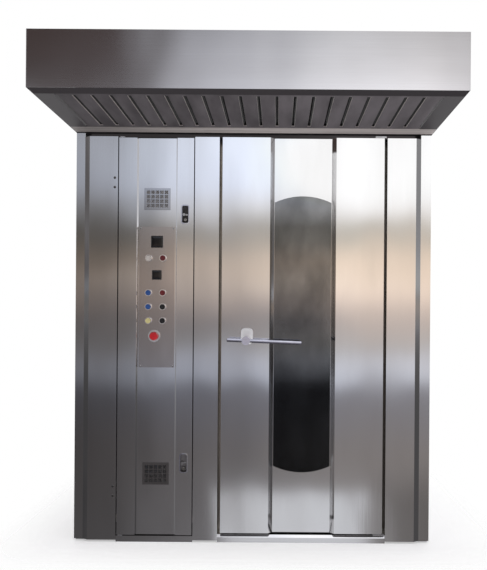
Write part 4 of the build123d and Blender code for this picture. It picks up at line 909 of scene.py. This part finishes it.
class OVEN_OT_works(bpy.types.Operator):
    """Finishes the machinery, the insulation, the gasket and the base"""

    bl_idname = "oven.works"
    bl_label = "Finish Works"

    def execute(self, context):
        rail = worn_metal(
            "rail_paint", light=(0.07, 0.07, 0.075), dark=(0.03, 0.03, 0.03), roughness=0.5, metallic=0.0
        )
        dress(rail, "base_rails")
        fired = worn_metal(
            "fired_steel", light=(0.16, 0.13, 0.11), dark=(0.07, 0.055, 0.05), roughness=0.55, metallic=0.7
        )
        dress(fired, "heat_exchanger")
        zinc = worn_metal(
            "zinc_sheet", light=(0.52, 0.53, 0.54), dark=(0.42, 0.43, 0.44), roughness=0.35, metallic=0.9,
            blotching=30.0,
        )
        dress(zinc, "compartment_bulkhead", "hood_fan_housing", "electrical_panel")
        turned = worn_metal(
            "turned_steel", light=(0.52, 0.52, 0.53), dark=(0.42, 0.42, 0.43), roughness=0.28, blotching=60.0
        )
        dress(turned, "door_pivots", "service_pivots", "hinge_brackets", "latch_cam")
        dress(turned, "lower_latch", "upper_latch", "rack_hook")
        dress(turned, "service_inlets", "circulation_fan", "hood_impeller")
        trough = worn_metal(
            "trough_iron", light=(0.10, 0.095, 0.09), dark=(0.05, 0.04, 0.035), roughness=0.7, metallic=0.4
        )
        dress(trough, "steam_generator")
        machine = worn_metal(
            "machine_paint", light=(0.10, 0.19, 0.28), dark=(0.07, 0.14, 0.21), roughness=0.42, metallic=0.0,
            blotching=24.0,
        )
        dress(machine, "burner", "circulation_motor", "rack_drive")
        dress(mineral_wool(), "insulation_slabs", "door_insulation")
        dress(moulded("gasket_rubber", (0.03, 0.03, 0.032), roughness=0.6), "door_gasket")
        return {"FINISHED"}


def world_light(world):
    """A studio room by direction: white behind the oven and wherever it is seen straight, and before the oven
    soft bands of light and shade, from the sloping ratios rise = z / ahead and aside = x / ahead."""
    world.use_nodes = True
    tree = NodeTree(world.node_tree)
    direction = tree.nodes.new("ShaderNodeSeparateXYZ")
    tree.links.new(tree.nodes.new("ShaderNodeTexCoord").outputs["Generated"], direction.inputs["Vector"])
    across, back, up = (direction.outputs[name] for name in "XYZ")
    rays = tree.nodes.new("ShaderNodeLightPath").outputs

    ahead = tree.maths("MAXIMUM", tree.maths("MULTIPLY", back, -1.0), LEAST_AHEAD)
    rise, aside = tree.maths("DIVIDE", up, ahead), tree.maths("DIVIDE", across, ahead)
    ratios = {"rise": rise, "aside": aside, "width": tree.maths("ABSOLUTE", aside, 0.0)}

    def ramp(value, start, end):
        """A smooth step from nought at start to one at end."""
        return tree.ranged(value, 0.0, 1.0, start, end, smooth=True)

    regions = {
        name: tree.product([ramp(ratios[ratio], start, end) for ratio, start, end in ramps])
        for name, ramps in ROOM_REGIONS.items()
    }
    regions["overhead"] = tree.maths("MULTIPLY", regions["overhead"], rays["Is Glossy Ray"])
    level = ROOM_LIGHT
    for name, share in ROOM_SHADES.items():
        level = tree.maths("SUBTRACT", level, tree.maths("MULTIPLY", regions[name], share * ROOM_LIGHT))
    heights = tree.bands(rise, BAND_REACH, HEIGHT_BANDS)
    sides = tree.bands(aside, BAND_REACH, SIDE_BANDS)
    room = tree.colour_maths("MULTIPLY", tree.colour_maths("MULTIPLY", heights, sides), level)
    for name, glow in ROOM_GLOWS.items():
        room = tree.colour_maths("MULTIPLY_ADD", regions[name], glow, room)
    room = tree.colour_maths("MINIMUM", room, (ROOM_CAP, ROOM_CAP, ROOM_CAP))

    room = tree.cover(regions["lit_strip"], room, STRIP_COLOUR)
    backdrop = tree.bands(up, BACKDROP_REACH, BACKDROP_BANDS)
    room = tree.cover(ramp(back, BACKDROP_START, BACKDROP_END), room, backdrop)
    seen = tree.maths("MAXIMUM", rays["Is Camera Ray"], rays["Is Transmission Ray"])
    room = tree.cover(seen, room, WHITE)
    tree.links.new(room, tree.nodes["Background"].inputs["Color"])


def add_floor(scene, settings):
    """A pale floor round the oven that fades out at its edge, and glows but for the shade under the oven."""
    foot_low, foot_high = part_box("base_rails")
    reach = settings.floor_reach
    low = (foot_low.x - reach, foot_low.y - reach, None)
    high = (foot_high.x + reach, foot_high.y + reach, None)
    points = [(x, y, 0.0) for y in (low[1], high[1]) for x in (low[0], high[0])]
    mesh = bpy.data.meshes.new("floor")
    mesh.from_pydata(points, [], [(0, 1, 3, 2)])
    floor = bpy.data.objects.new("floor", mesh)
    scene.collection.objects.link(floor)

    paint = Finish("floor_paint").set(Roughness=0.7, Emission_Color=(*WHITE, 1.0))
    tone = paint.noise((1.5, 1.5, 1.5), detail=2.0)
    dull = toned(settings.floor, settings.floor_tone)
    paint.link("Base Color", paint.blend(tone, [(0.3, dull), (0.7, settings.floor)]))
    foot = ((foot_low.x, foot_low.y, None), (foot_high.x, foot_high.y, None))
    under = paint.inside(*foot, edge=settings.floor_shade)
    glow = paint.ranged(under, low=settings.floor_glow, high=0.0, start=0.0, end=1.0)
    paint.link("Emission Strength", glow)
    paint.link("Alpha", paint.inside(low, high, edge=settings.floor_fade))
    mesh.materials.append(paint.material)
    floor.visible_glossy = False


def add_lamp(scene, settings):
    """A soft lamp near the floor that lights the hood from below, and isn't seen itself."""
    light = bpy.data.lights.new("foot_lamp", "AREA")
    light.shape = "RECTANGLE"
    light.size, light.size_y = settings.lamp_length, settings.lamp_width
    light.energy = settings.lamp_power
    lamp = bpy.data.objects.new("foot_lamp", light)
    lamp.location = (0.0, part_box("hood_fascia")[0].y, settings.lamp_height)
    lamp.rotation_euler = (math.radians(180.0), 0.0, 0.0)
    lamp.visible_camera = False
    lamp.visible_glossy = False
    scene.collection.objects.link(lamp)


def add_camera(scene, settings):
    """A camera that faces the oven's front, with its straight-ahead point off the picture's middle."""
    view = bpy.data.cameras.new("camera")
    view.sensor_width = 36.0
    view.lens = settings.focal_pixels * view.sensor_width / IMAGE_HEIGHT
    view.shift_x = (IMAGE_WIDTH / 2 - settings.vanishing_column) / IMAGE_HEIGHT
    view.shift_y = (settings.vanishing_row - IMAGE_HEIGHT / 2) / IMAGE_HEIGHT
    camera = bpy.data.objects.new("camera", view)
    camera.location = settings.eye
    camera.rotation_euler = (math.radians(90.0), -settings.roll, 0.0)
    scene.collection.objects.link(camera)
    scene.camera = camera


class OVEN_OT_stage(bpy.types.Operator):
    """Sets up the floor, the light and the camera"""

    bl_idname = "oven.stage"
    bl_label = "Set Up Stage"

    def execute(self, context):
        scene = context.scene
        scene.view_settings.view_transform = "Standard"
        if scene.world is None:
            scene.world = bpy.data.worlds.new("studio")
        world_light(scene.world)
        add_floor(scene, scene.oven_stage)
        add_lamp(scene, scene.oven_stage)
        add_camera(scene, scene.oven_stage)
        return {"FINISHED"}


class OVEN_PT_panel(bpy.types.Panel):
    """Lists the steps that dress the oven"""

    bl_idname = "OVEN_PT_panel"
    bl_label = "Rack Oven"
    bl_space_type = "VIEW_3D"
    bl_region_type = "UI"
    bl_category = "Rack Oven"

    def draw(self, context):
        for step in STEPS:
            self.layout.operator(step.bl_idname)


STEPS = (
    OVEN_OT_sheet,
    OVEN_OT_hood,
    OVEN_OT_glass,
    OVEN_OT_handle,
    OVEN_OT_controls,
    OVEN_OT_screws,
    OVEN_OT_vent_mesh,
    OVEN_OT_lock_barrels,
    OVEN_OT_lenses,
    OVEN_OT_works,
    OVEN_OT_stage,
)
GROUPS = {"oven_finish": OvenFinish, "oven_sizes": OvenSizes, "oven_stage": OvenStage}


def register():
    """Registers the settings, the steps and the panel."""
    for item in (*GROUPS.values(), *STEPS, OVEN_PT_panel):
        bpy.utils.register_class(item)
    for name, group in GROUPS.items():
        setattr(bpy.types.Scene, name, PointerProperty(type=group))


def unregister():
    """Takes back what register did."""
    for name in GROUPS:
        delattr(bpy.types.Scene, name)
    for item in (OVEN_PT_panel, *reversed(STEPS), *GROUPS.values()):
        bpy.utils.unregister_class(item)


def main():
    """Dresses the oven step by step."""
    register()
    bpy.ops.oven.sheet()
    bpy.ops.oven.hood()
    bpy.ops.oven.glass()
    bpy.ops.oven.handle()
    bpy.ops.oven.controls()
    bpy.ops.oven.screws()
    bpy.ops.oven.vent_mesh()
    bpy.ops.oven.lock_barrels()
    bpy.ops.oven.lenses()
    bpy.ops.oven.works()
    bpy.ops.oven.stage()


if __name__ == "__main__":
    main()
